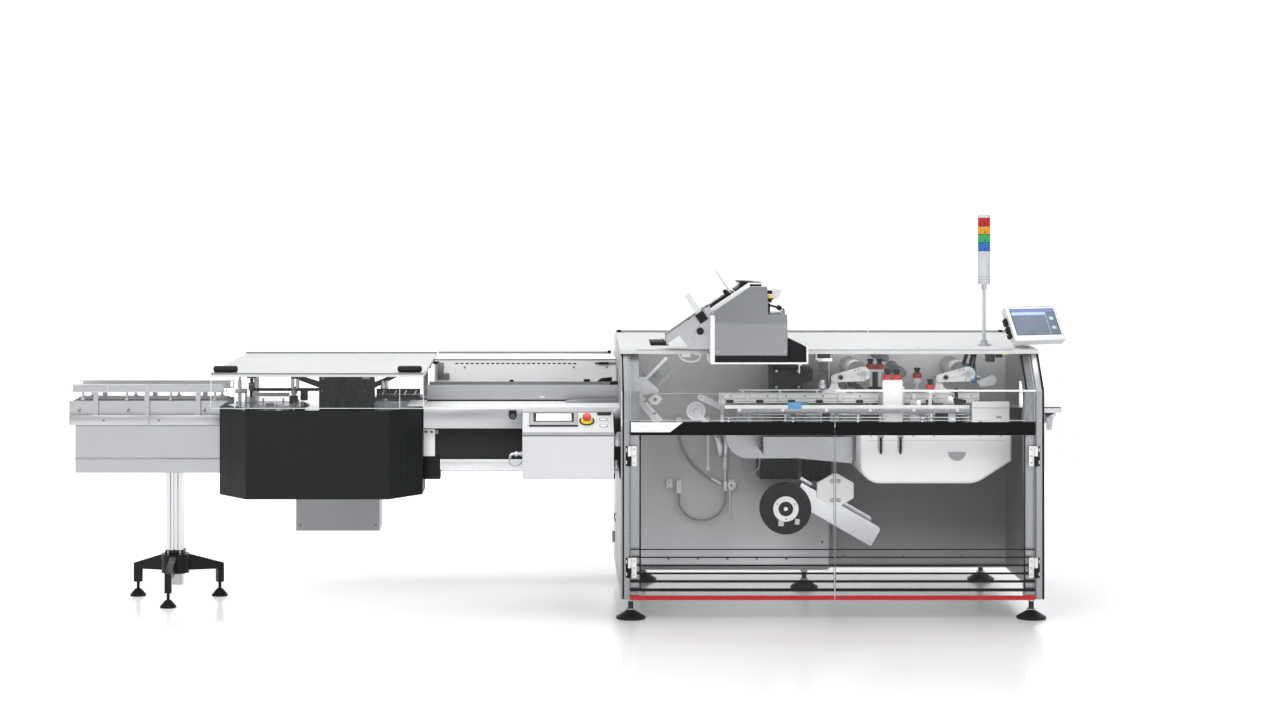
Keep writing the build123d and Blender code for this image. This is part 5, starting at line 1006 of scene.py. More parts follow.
def dress_left_corner():
    """Folding plates, hooks, crank rings and slides of the pusher corner."""
    triangle = ((352, 1099), (441, 1099), (441, 1021))
    Piece("fold_triangle", "frosted").prism(triangle, (598, 602), "Y", 0.8)
    carriers = Piece("fold_carriers", "machined")
    for x, z in ((430, 1085), (378, 1090), (430, 1040)):
        carriers.rod((x, 602, z), (x, LEFT_WALL_DEPTH, z), 6)
        carriers.screw((x, 598, z), 4)
    carriers.rod((452, 488, 1100), (452, LEFT_WALL_DEPTH, 1100), 5)
    carriers.rod((560, 360, 1232), (560, LEFT_WALL_DEPTH, 1232), 7)
    clamp = Piece("fold_clamp", "white_plastic")
    clamp.prism(((380, 1003), (420, 1029), (452, 1003), (426, 972), (395, 977)), (452, 488), "Y", 2)
    clamp.prism(((346, 1004), (354, 1012), (432, 915), (424, 907)), (434, 440), "Y", 0.8)
    bolts = Piece("fold_bolts", "dark_steel")
    bolts.screw((416, 452, 1000), 6)
    for x, depth, z in ((366, 434, 992), (412, 434, 934), (300, 440, 1080), (330, 440, 1040)):
        bolts.screw((x, depth, z), 4)
    strip = ((499, 1143), (507, 1137), (433, 1060), (425, 1065))
    Piece("fold_strips", "frosted").prism(strip, (484, 488), "Y", 0.5)
    hooks = Piece("corner_hooks", "white_plastic")
    bend = ((524, 1250), (526, 1228), (540, 1206), (566, 1194), (600, 1194), (624, 1206), (630, 1226))
    hooks.tube([(x, 352, z) for x, z in bend], 5)
    hooks.box((540, 582), (346, 366), (1214, 1244), 2)
    hooks.box((604, 636), (346, 360), (1224, 1250), 2)
    rings = Piece("crank_rings", "machined")
    rings.washer((621, 562, 934), 30, 33, 1)
    rings.washer((621, 562, 934), 8, 14, 3)
    rings.disc((621, 559, 934), 8, 4)
    for x, z in ((741, 958), (642, 1004)):
        rings.screw((x, 535, z), 4)


def dress_right_corner():
    """Coding head, connector, bars and end plates at the closing side."""
    bars = Piece("closing_bars", "black_plastic")
    under = cover_z(500, COVER_SHEET)
    for top, foot, foot_z, depth in (
        ((1943, 1967), (1936, 1921), 1167, (496, 508)),
        ((1967, 1990), (1962, 1948), 1160, (470, 480)),
        ((1992, 2002), (1975, 1968), 1130, (496, 508)),
    ):
        bars.prism([(x, under) for x in top] + [(x, foot_z) for x in foot], depth, "Y", 1)
    bars.box((2062, 2092), (345, 380), (1212, cover_z(345, COVER_SHEET)), 2)
    Piece("closing_block", "teal").box((1932, 1990), (500, 540), (1130, 1171), 3)
    plug = [(9, 0), (12, 3), (12, 30), (15, 34), (15, 50), (9, 56)]
    Piece("closing_connector", "blue").turn(plug, (1977, 482, 1134), DOWN)
    white = Piece("closing_plates", "white_plastic")
    plate = ((1984, 1090), (2062, 1122), (2083, 1098), (2070, 1070), (2004, 1060))
    white.prism(plate, (448, 456), "Y", 1.5)
    white.rod((2030, 456, 1090), (2030, RIGHT_WALL_DEPTH, 1090), 9)
    white.rod((2066, 390, 1183), (2066, 390, cover_z(390, COVER_SHEET)), 3)
    head = Piece("coding_head", "brown_motor")
    head.box((2024, 2066), (396, 450), (1187, cover_z(396, COVER_SHEET)), 4)
    head.box((2032, 2058), (392, 398), (1196, 1216), 2)
    Piece("closing_valve", "yellow").box((2084, 2110), (296, 320), (1226, cover_z(296, COVER_SHEET)), 2)
    trim = ((2103, 980), (2168, 980), (2158, 922), (2103, 922))
    Piece("closing_box_trim", "black_plastic").prism(trim, (226, 246), "Y", 1.5)
    lines = Piece("closing_box_lines", "grey_plastic")
    for x, z, edge in (
        ((1926, 2103), (978, 981), 0.3),
        ((1955, 1975), (900, 916), 1),
        ((2040, 2064), (930, 940), 1),
    ):
        lines.box(x, (223.2, 224.3), z, edge)
    bosses = Piece("wall_bosses", "dark_steel")
    for x, z, radius in ((1345, 1057, 22), (1438, 1040, 13), (1640, 1120, 24), (1560, 1190, 18)):
        profile = [(radius + 8, 0), (radius + 8, 14), (radius, 18), (radius, 380), (radius - 4, 386)]
        bosses.turn(profile, (x, RIGHT_WALL_DEPTH, z), TO_FRONT, 36)


# Inside the cabinet, below the track

HUB = (1051, 469)


def dress_reel():
    """Light hub ring, label tabs and grooves of the reel."""
    ring = Piece("reel_hub_ring", "white_plastic", "reel")
    ring.washer((HUB[0], 430, HUB[1]), 36, 62, 6.8, edge=1)
    ring.disc((HUB[0], 427, HUB[1]), 10, 3)
    grooves = Piece("reel_grooves", "rubber", "reel")
    for radius in (76, 88, 100, 112):
        grooves.washer((HUB[0], 430.2, HUB[1]), radius, radius + 4, 1.2)
    tab = Piece("reel_tab", "light_grey", "reel")
    tab.prism(((1014, 386), (1040, 384), (1043, 410), (1016, 414)), (428.6, 430), "Y", 0.5)
    tab.prism(((1094, 394), (1116, 392), (1120, 418), (1098, 422)), (428.8, 430), "Y", 0.5)
    screws = Piece("reel_hub_screws", "dark_steel", "reel")
    for x, z in spread(HUB, 49, 3, 30):
        screws.screw((x, 423.4, z), 3)


def dress_lower_left():
    """Air valves, hanging straps, clamp, recess and screws on the left wall."""
    valve = Piece("valve_faces", "white_plastic")
    valve.disc((504, 880, 537), 11, 3)
    valve.disc((816, 868, 532), 20, 7, edge=1.5)
    valve.rod((816, 868, 532), (816, LEFT_WALL_DEPTH, 532), 6)
    valve.box((489, 520), (898, 904), (512, 562), 2)
    Piece("valve_bores", "black_plastic").disc((816, 861, 532), 5, 1.5).disc((504, 877, 545), 3, 1.2)
    straps = Piece("hanging_straps", "machined")
    strap = ((726, 790), (770, 790), (776, 737), (770, 682), (754, 682), (744, 732))
    straps.prism(strap, (862, 866), "Y", 1)
    straps.prism(((781, 790), (797, 790), (797, 684), (783, 684)), (862, 866), "Y", 1)
    for x in (750, 789):
        straps.rod((x, 866, 778), (x, LEFT_WALL_DEPTH, 778), 6)
    screws = Piece("strap_screws", "dark_steel")
    for x, z, radius in ((769, 752, 6), (789, 778, 4), (750, 778, 4)):
        screws.screw((x, 862, z), radius)
    clamp = Piece("rod_clamp", "white_plastic")
    clamp.rod((958, 800, 717), (958, 800, 784), 4.5)
    clamp.box((963, 990), (788, 812), (692, 715), 2)
    clamp.box((950, 966), (792, 808), (700, 724), 2)
    clamp.rod((976, 812, 703), (976, LEFT_WALL_DEPTH, 703), 6)
    clamp.prism(((714, 562), (722, 570), (768, 543), (762, 534)), (870, 876), "Y", 1)
    clamp.rod((740, 876, 552), (740, LEFT_WALL_DEPTH, 552), 5)
    Piece("wall_recess", "black_plastic").box((884, 944), (899, LEFT_WALL_DEPTH), (692, 777), 3)
    screws = Piece("wall_screws", "dark_steel")
    for x, z in (
        (502, 156), (651, 156), (800, 156), (949, 156), (1098, 156), (280, 156),
        (280, 520), (280, 860), (1280, 240), (1280, 460),
    ):
        screws.screw((x, LEFT_WALL_DEPTH, z), 5)
    for x, z in ((1400, 160), (1700, 160), (2000, 160), (1400, 560), (1560, 560)):
        screws.screw((x, RIGHT_WALL_DEPTH, z), 5)
    # Dark side face of the step between the two wall sheets: painted shade.
    strip = Piece("wall_step_shaded_side", "dark_steel")
    strip.box((WALL_STEP_X, 1320), (LEFT_WALL_DEPTH, RIGHT_WALL_DEPTH), (106, 1240), 1)
    strips = Piece("wall_foot_strip", "dark_steel")
    strips.box((246, 1308), (LEFT_WALL_DEPTH - 8, LEFT_WALL_DEPTH), (101, 118), 1)
    strips.box((1316, 2217), (RIGHT_WALL_DEPTH - 8, RIGHT_WALL_DEPTH), (101, 118), 1)


def dress_drives():
    """Seams, fins and screws on the gearboxes, and the bearing plate's bolts."""
    fins = Piece("gearbox_fins", "black_plastic")
    for x in range(1118, 977, -28):
        fins.box((x - 12, x), (652, 661), (594, 674), 1)
    for x in range(1186, 1275, 22):
        fins.box((x, x + 10), (683, 691), (580, 668), 1)
    for z in (1018, 1132):
        fins.box((1016, 1154), (694, 701), (z, z + 12), 1)
    bolts = Piece("plate_bolts", "machined")
    for x in (1286, 1316):
        for z in (503, 595):
            bolts.turn([(11, 0), (11, 2), (10, 5), (7, 8), (2.5, 9.4)], (x, 506, z), TO_FRONT, 28)
    for x in (1030, 1140):
        for z in (1040, 1120):
            bolts.screw((x, 700, z), 5)
    Piece("trough_end_plate", "dark_steel").box((1334, 1384), (384, 388), (716, 866), 1)
    rim = Piece("chute_rim", "dark_steel").at((1087, 520, 496), (0, 29.8, 0))
    rim.box((0, 449), (-0.6, 0.6), (-2, 1.5), 0.2)


def dress_closing_cover():
    """Hanging pins with painted shadows beside them, slots, seam and fan grille on the big closing cover.
    """
    pins = Piece("cover_pins", "black_plastic")
    guides = Piece("cover_marks_and_pin_shadows", "grey_plastic")
    for x in (1478, 1572):
        pins.rod((x + 7, 206, 766), (x + 7, 206, 840), 6.5, 1.5)
        pins.rod((x + 7, 206, 760), (x + 7, 206, 766), 4)
        # Grey strip left of each pin: painted shadow.
        guides.box((x - 7, x - 3), (208.6, 210.4), (772, 838), 0.5)
        guides.box((x - 8, x + 22), (207, 210.4), (836, 850), 1)
    guides.box((1433, 1576), (208.8, 210.4), (852, 856), 0.4)
    guides.prism(circle((1849, 770), 43, 180, 360), (208.4, 210.4), "Y", 0.8)
    Piece("cover_front_seam", "light_grey").box((1420, 2080), (209, 210.3), (824, 827), 0.3)
    screws = Piece("cover_face_screws", "machined")
    for x in (1440, 1640, 1740, 1960, 2060):
        screws.screw((x, 210, 845), 3.6)


# Middle section: table, channel, rear cover and control box

DESK = ((0, 0, 884), (-math.degrees(math.atan2(150, 79)), 0, 0))


def dress_middle():
    """Fascia, lines, slotted row and small fittings between the station and the cabinet."""
    left, right = span("transfer_table", "X")
    fascia = Piece("table_fascia", "panel_steel")
    for x in ((left, -227), (204, right)):
        fascia.box(x, (198.4, 200.4), (886, 975), 0.6)
    Piece("table_corner", "white_lit").box((left - 80, left), (205, 533), (987.6, 991), 1)
    dark = Piece("middle_dark_lines", "black_gloss")
    dark.box((left, right), (531.6, 533.2), (986, 993), 0.3)
    dark.box((left - 78, left - 4), (204, 206), (987, 989), 0.3)
    outline = ((-293, 971), (-293, 941), (-286, 930), (-275, 926), (-264, 930), (-257, 941), (-257, 971))
    Piece("table_sensor", "black_plastic").prism(outline, (185, 199), "Y", 3)
    Piece("table_sensor_ring", "dark_steel").washer((-275, 185.4, 944), 5, 9, 1.6)
    trims = Piece("rear_cover_trims", "mid_grey")
    trims.box((-685, 236), (937.5, 946), (1158, 1163.8), 0.6)
    trims.rod((-684, 1378, 1168), (210, 1378, 1168), 5.5)
    trims.box((-668, -638), (931, 940.5), (1060, 1146), 1)
    trims.box((-634, -609), (929, 940.5), (1060, 1093), 1.5)
    trims.rod((176, 930, 1144), (236, 930, 1144), 5)
    slots = Piece("rear_cover_slots", "black_gloss")
    for x in range(-579, 20, 26):
        slots.box((x, x + 16), (939.2, 940.4), (1138, 1144), 0.3)
    slots.box((-712, -660), (934, 940.5), (1139, 1152), 1)
    slots.box((-712, -700), (934, 940.5), (1118, 1139), 1)
    slots.box((150, 200), (925, 940.5), (1137, 1149), 2)
    slots.rod((130, 930, 1143), (150, 930, 1143), 4)
    slots.box((204, 222), (1366, 1390), (1160, 1179), 2)
    screws = Piece("rear_cover_screws", "dark_steel")
    for x in (-531, 23, -640, 190):
        screws.screw((x, 940, 1122), 4)
    for x in (-640, -440, -240, -40, 160):
        screws.screw((x, 1398, 1080), 5, TO_BACK)
    fittings = Piece("channel_fittings", "black_plastic")
    fittings.box((197, 235), (534, 562), (1065, 1082), 2)
    fittings.prism(((137, 1065), (212, 1065), (212, 1088), (158, 1082)), (744, 750), "Y", 1)
    fittings.box((70, 102), (740, 752), (1065, 1077), 2)
    fittings.box((-300, -280), (740, 752), (1065, 1074), 2)
    Piece("channel_clips", "white_plastic").box((-148, -124), (527, 533), (1002, 1010), 1)
    wedge = ((-22, 985), (236, 985), (236, 1002), (30, 1000), (-22, 992))
    Piece("table_wedge", "dark_steel").prism(wedge, (440, 500), "Y", 1)
    Piece("beam_bracket", "white_lit").box((-707, -652), (291, 300.5), (741, 871), 1.5)
    Piece("beam_bracket_corner", "grey_plastic").box((-651, -636), (293, 300.5), (848, 866), 1)
    block = Piece("beam_end_block", "black_plastic")
    block.box((-707, -626), (292, 300), (630, 739), 2)
    block.box((-707, -626), (300, 372), (630, 668), 2)
    elbow = Piece("box_air_elbow", "machined")
    elbow.rod((-227, 120, 771), (-252, 120, 771), 8)
    elbow.disc((-252, 120, 771), 12, 12, (-1, 0, 0), 2)
    elbow.tube([(-262, 120, 771), (-276, 120, 770), (-286, 120, 762), (-289, 120, 748)], 7)
    elbow.washer((-233, 120, 771), 8, 13, 4, (-1, 0, 0), 1)
    bend = ((-289, 750), (-290, 730), (-278, 716), (-258, 712), (-240, 722), (-226, 742))
    Piece("box_air_loop", "hose").tube([(x, 120, z) for x, z in bend], 2)
    dots = Piece("beam_bracket_screws", "black_plastic")
    for spot in [(-695, 291, 858), (-667, 291, 858)] + [(x, 300, 850) for x in range(-560, 230, 130)]:
        dots.screw(spot, 4)
    rail = Piece("beam_rail_face", "aluminium")
    rail.box((-624, 236), (297.5, 300.3), (670, 725), 0.8)
    for groove in (684, 697, 710):
        rail.box((-624, 236), (296.3, 298), (groove, groove + 3), 0.4)


def pill(left, right, height, radius):
    """Outline of a bar with two round ends."""
    return circle((left, height), radius, 90, 270, 8) + circle((right, height), radius, -90, 90, 8)


def dress_control_box():
    """Touch panel, handle, bare key plates and seams of the control box."""
    left, right = span("control_box", "X")
    for name, look, x, z, front, edge in (
        ("key_panel_bezel", "grey_plastic", (-196, 35), (55, 165), -5, 3),
        ("key_panel_rim", "black_gloss", (-176, 16), (84, 161), -5.6, 1),
        ("key_panel_screen", "screen_white", (-163, 4), (92, 155), -6, 0.4),
        ("key_panel_foot", "black_plastic", (-196, 35), (49, 57), -6, 2),
    ):
        Piece(name, look).at(*DESK).box(x, (front, 0.4), z, edge)
    Piece("stop_base_ring", "black_plastic").at(*DESK).washer((77, 0, 93), 31, 36, 6)
    Piece("stop_base_plate", "light_grey").at(*DESK).washer((77, 0, 93), 36, 42, 2)
    Piece("desk_grip", "black_plastic").at(*DESK).prism(pill(137, 183, 158, 12), (-4, 0.4), "Y", 1.2)
    for number, height in enumerate((111, 57)):
        rim = Piece(f"desk_key_rim_{number}", "black_gloss").at(*DESK)
        rim.prism(pill(149, 163, height, 13), (-0.8, 0.4), "Y", 0.3)
        face = Piece(f"desk_key_face_{number}", "white").at(*DESK)
        face.prism(pill(149, 163, height, 10.5), (-1.4, -0.6), "Y", 0.3)
    # Front lip of the white box coloured grey as painted shade, with a black painted shadow line beneath
    # it.
    Piece("control_box_shaded_lip", "grey_plastic").box((left, right), (-1.2, 0.4), (870, 885), 0.4)
    inset = (left + 2, right - 2)
    Piece("control_box_painted_shadow", "black_gloss").box(inset, (-0.8, 0.4), (866, 869.6), 0.2)
    Piece("desk_rear_gap", "dark_steel").box(inset, (151, 197), (960, 964), 1)
    seam = Piece("control_box_seam", "light_grey")
    for z in (672, 868):
        seam.box((left + 9, right - 9), (-0.6, 0.4), (z, z + 1.6), 0.2)
    for x in (left + 9, right - 10.6):
        seam.box((x, x + 1.6), (-0.6, 0.4), (672, 869), 0.2)
    mounts = Piece("control_box_mounts", "black_plastic")
    mounts.box((202, 237), (50, 90), (749, 807), 2)
    mounts.prism(((222, 750), (237, 750), (237, 660), (231, 660)), (56, 84), "Y", 1)
    mounts.prism(((204, 945), (237, 945), (237, 902), (208, 864)), (60, 64), "Y", 1)
    mounts.box((202, 211), (60, 80), (659, 684), 1)
    fitting = Piece("control_box_fittings", "machined")
    fitting.box((208, 221), (58, 82), (684, 750), 2)
    fitting.screw((214, 58, 732), 4)
    fitting.screw((214, 58, 702), 4)
    fitting.box((204, 237), (66, 70), (806, 880), 1)


def dress_left_side():
    """Latch block, short hose and door seams on the cabinet's left and right sides."""
    Piece("side_latch_block", "light_grey").box((221, 237), (1100, 1150), (212, 264), 3)
    bend = [(237, 880, 388), (229, 880, 384), (227, 880, 366), (237, 880, 344)]
    Piece("side_hose", "hose").tube(bend, 3.5)
    seams = Piece("side_door_seams", "dark_steel")
    for x in ((235, 236.4), (2226.6, 2228)):
        for depth in (118, 520, 900):
            seams.box(x, (depth, depth + 3), (160, 1020), 0.2)
        for height in (160, 1020):
            seams.box(x, (118, 903), (height, height + 3), 0.2)


# Infeed station and left conveyor

def dress_station():
    """Hood edges, painted highlights along the pane edges, nozzles, blocks and cleats of the infeed
    station.
    """
    left, right = span("infeed_hood", "X")
    top = span("infeed_hood", "Z")[1]
    line = Piece("hood_edge_line", "mid_grey", "hood")
    line.box((left + 2, right - 2), (-0.6, 0.4), (top - 7, top + 0.4), 0.3)
    line.rod((left, 1378, top + 3), (right, 1378, top + 3), 5.5)
    domes = Piece("hood_handle_ends", "black_plastic", "hood")
    # Lighter strips along the pane edges: painted highlight.
    edges = Piece("hood_pane_edge_highlights", "edge", "hood")
    rings = Piece("hood_handle_rings", "machined", "hood")
    dome = [(15.8, -1), (15.4, 2), (13, 6), (8, 9), (2, 10)]
    for handle in ((-1674, -1578), (-806, -710)):
        for x, away in zip(handle, (-1, 1)):
            domes.turn(dome, (x, 30, 1179.6), (away, 0, 0), 24)
            rings.screw((x - 12 * away, 30, top), 5, UP)
    for x in (left, left + 112, right - 116, right - 4):
        edges.box((x, x + 4), (-0.5, 5.5), (997, 1143), 0.8)
    edges.box((left, right), (-0.5, 5.5), (995, 999), 0.8)
    post = (-1573, 612)
    Piece("hook_post_collar", "machined").washer((*post, 1032), 6, 16, 36, UP, 2)
    Piece("hook_post_tube", "tube").washer((*post, 950), 12, 23, 50, UP, 1)
    upright = Piece("station_upright", "white_plastic")
    upright.box((-1640, -1622), (600, 612), (950, 1084), 2)
    upright.box((-1606, -1594), (600, 612), (950, 1040), 2)
    upright.box((-1648, -1592), (594, 618), (950, 962), 2)
    slide = Piece("station_slide", "machined")
    slide.box((-1652, -1592), (592, 601), (1020, 1042), 2)
    slide.rod((-1631, 592, 1031), (-1631, 580, 1031), 9)
    slide.rod((-1631, 606, 1084), (-1631, 606, 1104), 6)
    sleeves = Piece("nozzle_sleeves", "aluminium")
    for x, height in ((-1333, 48), (-1357, 48), (-917, 38), (-897, 38)):
        sleeves.washer((x, 480, 1052), 7, 9.5, height, UP, 0.6, 24)
    bars = Piece("station_bars", "white_plastic")
    bars.box((-1567, -1384), (590, 598), (1004, 1022), 1.5)
    for x in ((-1209, -1203), (-1012, -976)):
        bars.box(x, (437, 441), (1101, 1111), 0.8)
    cone = Piece("station_cone", "machined")
    cone.turn([(16, 0), (17, 4), (8, 30), (6, 34)], (-1361, 594, 1018), UP)
    cone.box((-1372, -1350), (584, 604), (1004, 1019), 2)
    blocks = Piece("station_blocks", "black_plastic")
    blocks.box((-1384, -1344), (580, 620), (974, 1006), 3)
    blocks.box((-1329, -1295), (580, 620), (984, 1032), 3)
    blocks.box((-1372, -1308), (586, 614), (950, 976), 2)
    for x in (-1188, -1120, -1052):
        blocks.box((x, x + 26), (432, 441), (958, 1060), 3)
    blocks.rod((-1112, 436, 1000), (-1112, 436, 1128), 9)
    blocks.rod((-1040, 436, 990), (-1040, 436, 1100), 6)
    bow = ((-1150, 436, 1040), (-1138, 424, 1080), (-1110, 420, 1100), (-1078, 424, 1080))
    blocks.tube([*bow, (-1070, 436, 1030)], 5)
    lamps = Piece("station_lamps", "red")
    for x in (-1209, -1000):
        lamps.disc((x, 440, 1045), 5, 4, edge=1.2)
    Piece("station_channel_cover", "black_gloss").box((-950, -735), (526, 533), (998, 1047), 1.5)
    cleats = Piece("station_channel_cleats", "white_plastic")
    for x in (-927, -868, -819, -770):
        cleats.prism(((x, 1016), (x + 8, 1016), (x + 20, 1038), (x + 12, 1038)), (523.5, 527), "Y", 0.8)
    cleats.box((-948, -737), (524.8, 526.6), (1019, 1021), 0.3)
    centre = (-1462, 420)
    rings = Piece("rotary_table_rings", "dark_steel")
    for radius in (60, 130, 188):
        rings.washer((*centre, 978), radius, radius + 2.5, 0.8, UP, 0.2)
    rings.disc((*centre, 978), 22, 6, UP, 1.5)
    pegs = Piece("rotary_table_pegs", "machined")
    for spot in spread(centre, 160, 10):
        pegs.rod((*spot, 978), (*spot, 996), 4)


def dress_skirt():
    """Panel seams and screws of the faceted skirt and the sump."""
    left, right = span("infeed_skirt", "X")
    seams = Piece("skirt_seams", "black_gloss")
    for x in (left + 77, right - 77):
        seams.box(around(x, 1), (-0.8, 0.6), (640, 985), 0.2)
    screws = Piece("sump_screws", "dark_steel")
    left, right = span("steel_sump", "X")
    for x in (left + 20, right - 20):
        for z in (380, 600):
            screws.screw((x, 500, z), 4)


def dress_conveyor():
    """Side strip, joints, screws and guide-rail frames of the left conveyor."""
    left, right = span("infeed_conveyor", "X")
    strip = Piece("conveyor_side_strip", "panel_steel")
    for x in ((left + 2, -2058.5), (-2055.5, right - 2)):
        strip.box(x, (465.6, 468.4), (874, 922), 0.8)
    lines = Piece("conveyor_lines", "grey_plastic")
    for z in ((928, 930), (706, 709)):
        lines.box((left, right), (466.2, 468.3), z, 0.3)
    frames = Piece("guide_rail_frames", "light_grey")
    for depth in ((465, 468), (732, 735)):
        for x in (left + 4, -2262, -2068, -1874, right - 8):
            frames.box((x, x + 5), depth, (1034, 1073), 0.8)
        for height in (1034, 1069):
            frames.box((left + 4, right - 4), depth, (height, height + 4), 0.8)
    posts = Piece("guide_rail_posts", "machined")
    for x in (-2380, -2165, -1950, -1735):
        for depth in (468, 732):
            posts.rod((x, depth, 998), (x, depth, 1036), 6)
            posts.washer((x, depth, 996), 5, 12, 6, UP, 1)
    screws = Piece("conveyor_screws", "dark_steel")
    for x, z in ((-2010, 897), (-1788, 944), (-2280, 897), (-2160, 944), (-2400, 944), (-1700, 897)):
        screws.screw((x, 466, z), 4.5)
    for x in (-2380, -2090, -1800):
        for z in (760, 880):
            screws.screw((x, 732, z), 4.5, TO_BACK)
    rings = Piece("conveyor_end_rings", "machined")
    for depth, direction in ((490, TO_FRONT), (708, TO_BACK)):
        rings.disc((left + 40, depth, 965), 14, 4, direction)


def dress_stand():
    """Clamp, levelling nuts and cap screws of the tripod stand."""
    x, depth = (sum(span("stand_column", axis)) / 2 for axis in "XY")
    low, high = span("stand_column", "Z")
    Piece("stand_clamp", "black_plastic").box(around(x, 46), around(depth, 46), (low + 138, low + 172), 6)
    grooves = Piece("stand_grooves", "dark_steel")
    for shift in (-20, 16):
        grooves.box((x + shift, x + shift + 4), (depth - 40.8, depth - 39.6), (low + 176, high - 4), 0.3)
    screws = Piece("stand_screws", "machined")
    for height in (low + 148, low + 162):
        for side in around(x, 30):
            screws.screw((side, depth - 46, height), 4)


# Right end, feet and rear

def dress_outfeed():
    """Edge lines, bracket and screws of the outfeed conveyor, and painted highlights along the edges of
    its clear tunnel.
    """
    right = span("outfeed_conveyor", "X")[1]
    front = span("outfeed_conveyor", "Y")[0]
    dark = Piece("outfeed_lines", "black_plastic")
    dark.box((CABINET_RIGHT + 2, right - 4), (front - 2, front + 1), (963, 968), 0.6)
    dark.prism(((2314, 939), (2359, 939), (2314, 917)), (front - 3, front + 2), "Y", 1)
    bracket = ((2314, 917), (2350, 917), (2340, 856), (2314, 856))
    Piece("outfeed_bracket", "light_grey").prism(bracket, (front - 2, front + 4), "Y", 1)
    left, right = span("outfeed_guard", "X")
    near, far = span("outfeed_guard", "Y")
    low, high = span("outfeed_guard", "Z")
    # Lighter strips along the tunnel's sheet edges: painted highlight.
    edges = Piece("tunnel_edge_highlights", "edge")
    for depth in (near, far - 4):
        edges.box((right - 4, right + 0.6), (depth, depth + 4), (low, high), 0.8)
        edges.box((left, right), (depth, depth + 4), (high - 3.4, high + 0.6), 0.8)
    screws = Piece("tunnel_screws", "machined")
    for height in (low + 40, high - 40):
        screws.screw((left + 14, near, height), 3.6)


def dress_feet():
    """Nuts on the levelling feet."""
    nuts = Piece("foot_nuts", "machined")
    for place in ((284, 60), (2176, 60), (1193, 955), (384, 1212), (2134, 1212)):
        nuts.turn([(17, 0), (18, 2), (18, 12), (17, 14)], (*place, FRAME_BOTTOM - 16), UP, 6)
        nuts.washer((*place, 44), 10, 22, 4, UP)


def dress_rear():
    """Latches, hinges and louvres of the four service doors at the back."""
    left, right = span("rear_housing", "X")
    rear = span("rear_housing", "Y")[1]
    door_width = (right - left - 60) / 4
    latches = Piece("rear_latches", "black_plastic")
    hinges = Piece("rear_hinges", "machined")
    louvres = Piece("rear_louvres", "dark_steel")
    for number in range(4):
        start = left + 30 + number * door_width
        end = start + door_width
        for height in (400, 960):
            latches.box((end - 46, end - 20), (rear, rear + 9), (height, height + 40), 3)
        for height in (300, 1060):
            hinges.rod((start + 10, rear + 5, height), (start + 10, rear + 5, height + 60), 5)
        for height in range(230, 327, 16):
            louvres.box((start + 130, end - 130), (rear - 1, rear + 4), (height, height + 8), 1.5)


# Stage: a pale floor that curves up into a backdrop, and soft lights

def make_stage():
    """One sheet for floor and backdrop; its glow grows with distance from the cabinet, a painted light
    that leaves the floor darker near it.
    """
    look = Look("studio_floor", (0.90, 0.90, 0.90), 0.2)
    look.rough(look.noise(0.8), 0.14, 0.24)
    look.set("Emission Color", (1.0, 1.0, 1.0, 1.0))
    # The floor glows more with distance from the cabinet: painted light, leaving it darker near the
    # cabinet.
    reach = look.node("ShaderNodeVectorMath")
    reach.operation = "DISTANCE"
    reach.inputs[1].default_value = (1.23, 0.0, 0.0)
    look.link(look.place(), reach.inputs[0])
    glow = look.remap(reach.outputs["Value"], 1.3, 5.0, 0.0, 0.55)
    look.link(glow, look.shader.inputs["Emission Strength"])
    mesh = bpy.data.meshes.new("studio_floor")
    half_width, near, bend_start, bend_radius, top = 30.0, -20.0, 15.0, 3.0, 14.0
    profile = [(near, 0.0), (bend_start, 0.0)]
    for step in range(1, 17):
        angle = math.radians(90 * step / 16)
        profile.append((bend_start + bend_radius * math.sin(angle), bend_radius * (1 - math.cos(angle))))
    profile.append((bend_start + bend_radius, top))
    points = [(x, y, z) for y, z in profile for x in (-half_width, half_width)]
    faces = [(2 * i, 2 * i + 1, 2 * i + 3, 2 * i + 2) for i in range(len(profile) - 1)]
    mesh.from_pydata(points, [], faces)
    mesh.shade_smooth()
    mesh.materials.append(look.material)
    floor = bpy.data.objects.new("studio_floor", mesh)
    bpy.context.scene.collection.objects.link(floor)


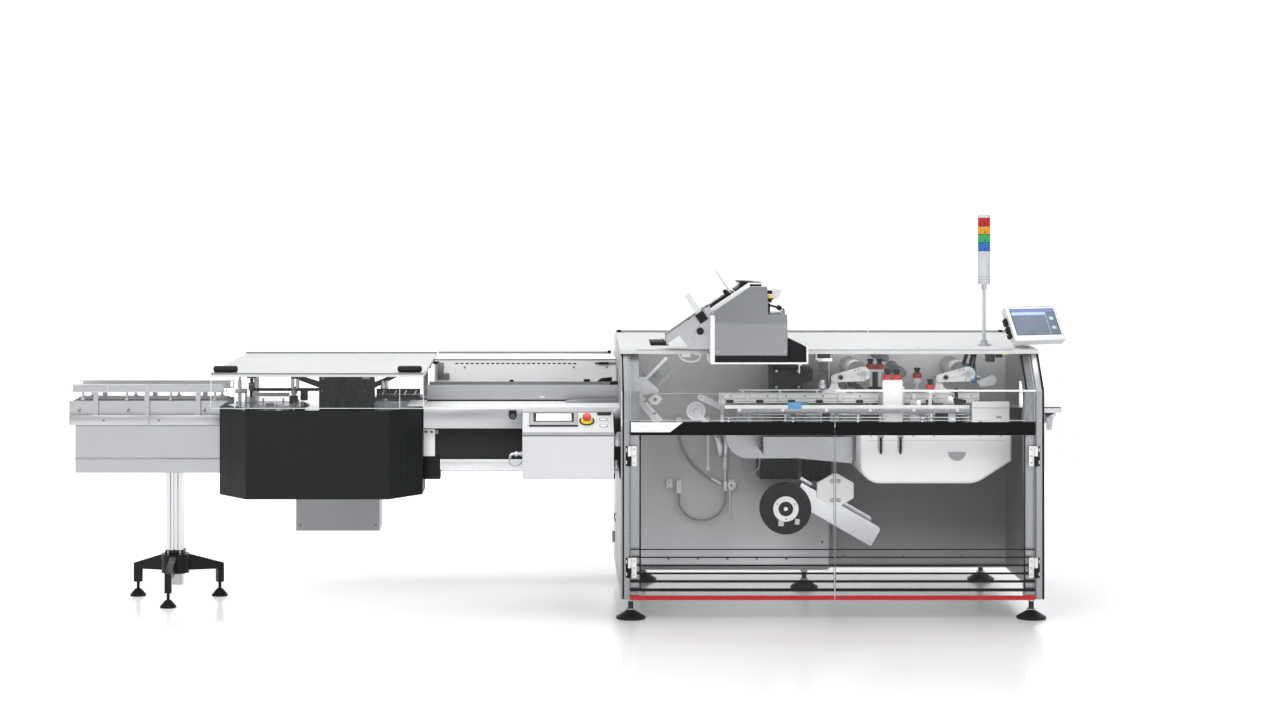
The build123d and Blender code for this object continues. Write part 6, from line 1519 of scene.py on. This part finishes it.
def area_light(name, place, target, size, power):
    """A soft rectangular light that faces a point."""
    data = bpy.data.lights.new(name, "AREA")
    data.shape = "RECTANGLE"
    data.size, data.size_y = size
    data.energy = power
    light = bpy.data.objects.new(name, data)
    light.location = place
    light.rotation_euler = (Vector(target) - Vector(place)).to_track_quat("-Z", "Y").to_euler()
    bpy.context.scene.collection.objects.link(light)


def make_lights():
    """Key, fill and overhead light, two thin ones inside the cabinet, and an even world."""
    area_light("key", (-3.0, -6.5, 5.0), (0, 0, 0.8), (5.0, 3.0), 270)
    area_light("fill", (5.0, -6.0, 3.6), (0.6, 0, 0.8), (4.0, 3.0), 150)
    area_light("top", (0, 0.4, 5.2), (0, 0, 0), (8.0, 3.0), 190)
    area_light("wall", (1.23, FRONT * MM + 0.62, 1.235), (1.23, FRONT * MM + 0.95, 1.08), (1.8, 0.05), 1.6)
    area_light("inside", (1.23, FRONT * MM + 0.19, 1.23), (1.23, FRONT * MM + 0.45, 1.0), (1.8, 0.04), 0.8)
    world = bpy.data.worlds.new("studio")
    world.use_nodes = True
    background = world.node_tree.nodes["Background"]
    background.inputs["Color"].default_value = (0.93, 0.95, 1.0, 1.0)
    background.inputs["Strength"].default_value = 0.5
    bpy.context.scene.world = world
    bpy.context.scene.view_settings.view_transform = "Standard"


def make_camera():
    """A level camera, as far back as the photograph's perspective asks for."""
    data = bpy.data.cameras.new("camera")
    data.sensor_width = 36.0
    data.lens = 70.31
    data.shift_x = 0.06875
    data.shift_y = -0.1367
    data.clip_end = 100.0
    camera = bpy.data.objects.new("camera", data)
    camera.location = (-0.088, FRONT * MM - 11.75, 2.047)
    camera.rotation_euler = (math.radians(90), 0, 0)
    bpy.context.scene.collection.objects.link(camera)
    bpy.context.scene.camera = camera


dress_door("left", 1, (259, 221), 29)
dress_door("right", -1, (297, 259, 221), 18)
for dress in (
    dress_guards, dress_posts, dress_roof, dress_band, dress_tower, dress_panel, dress_feeder,
    dress_magazine, dress_arms, dress_bar, dress_knobs, dress_track, dress_lamp, dress_left_corner,
    dress_right_corner, dress_reel, dress_lower_left, dress_drives, dress_closing_cover, dress_middle,
    dress_control_box, dress_left_side, dress_station, dress_skirt, dress_conveyor, dress_stand,
    dress_outfeed, dress_feet, dress_rear,
):
    dress()
for piece in PIECES:
    piece.done()
make_stage()
make_lights()
make_camera()
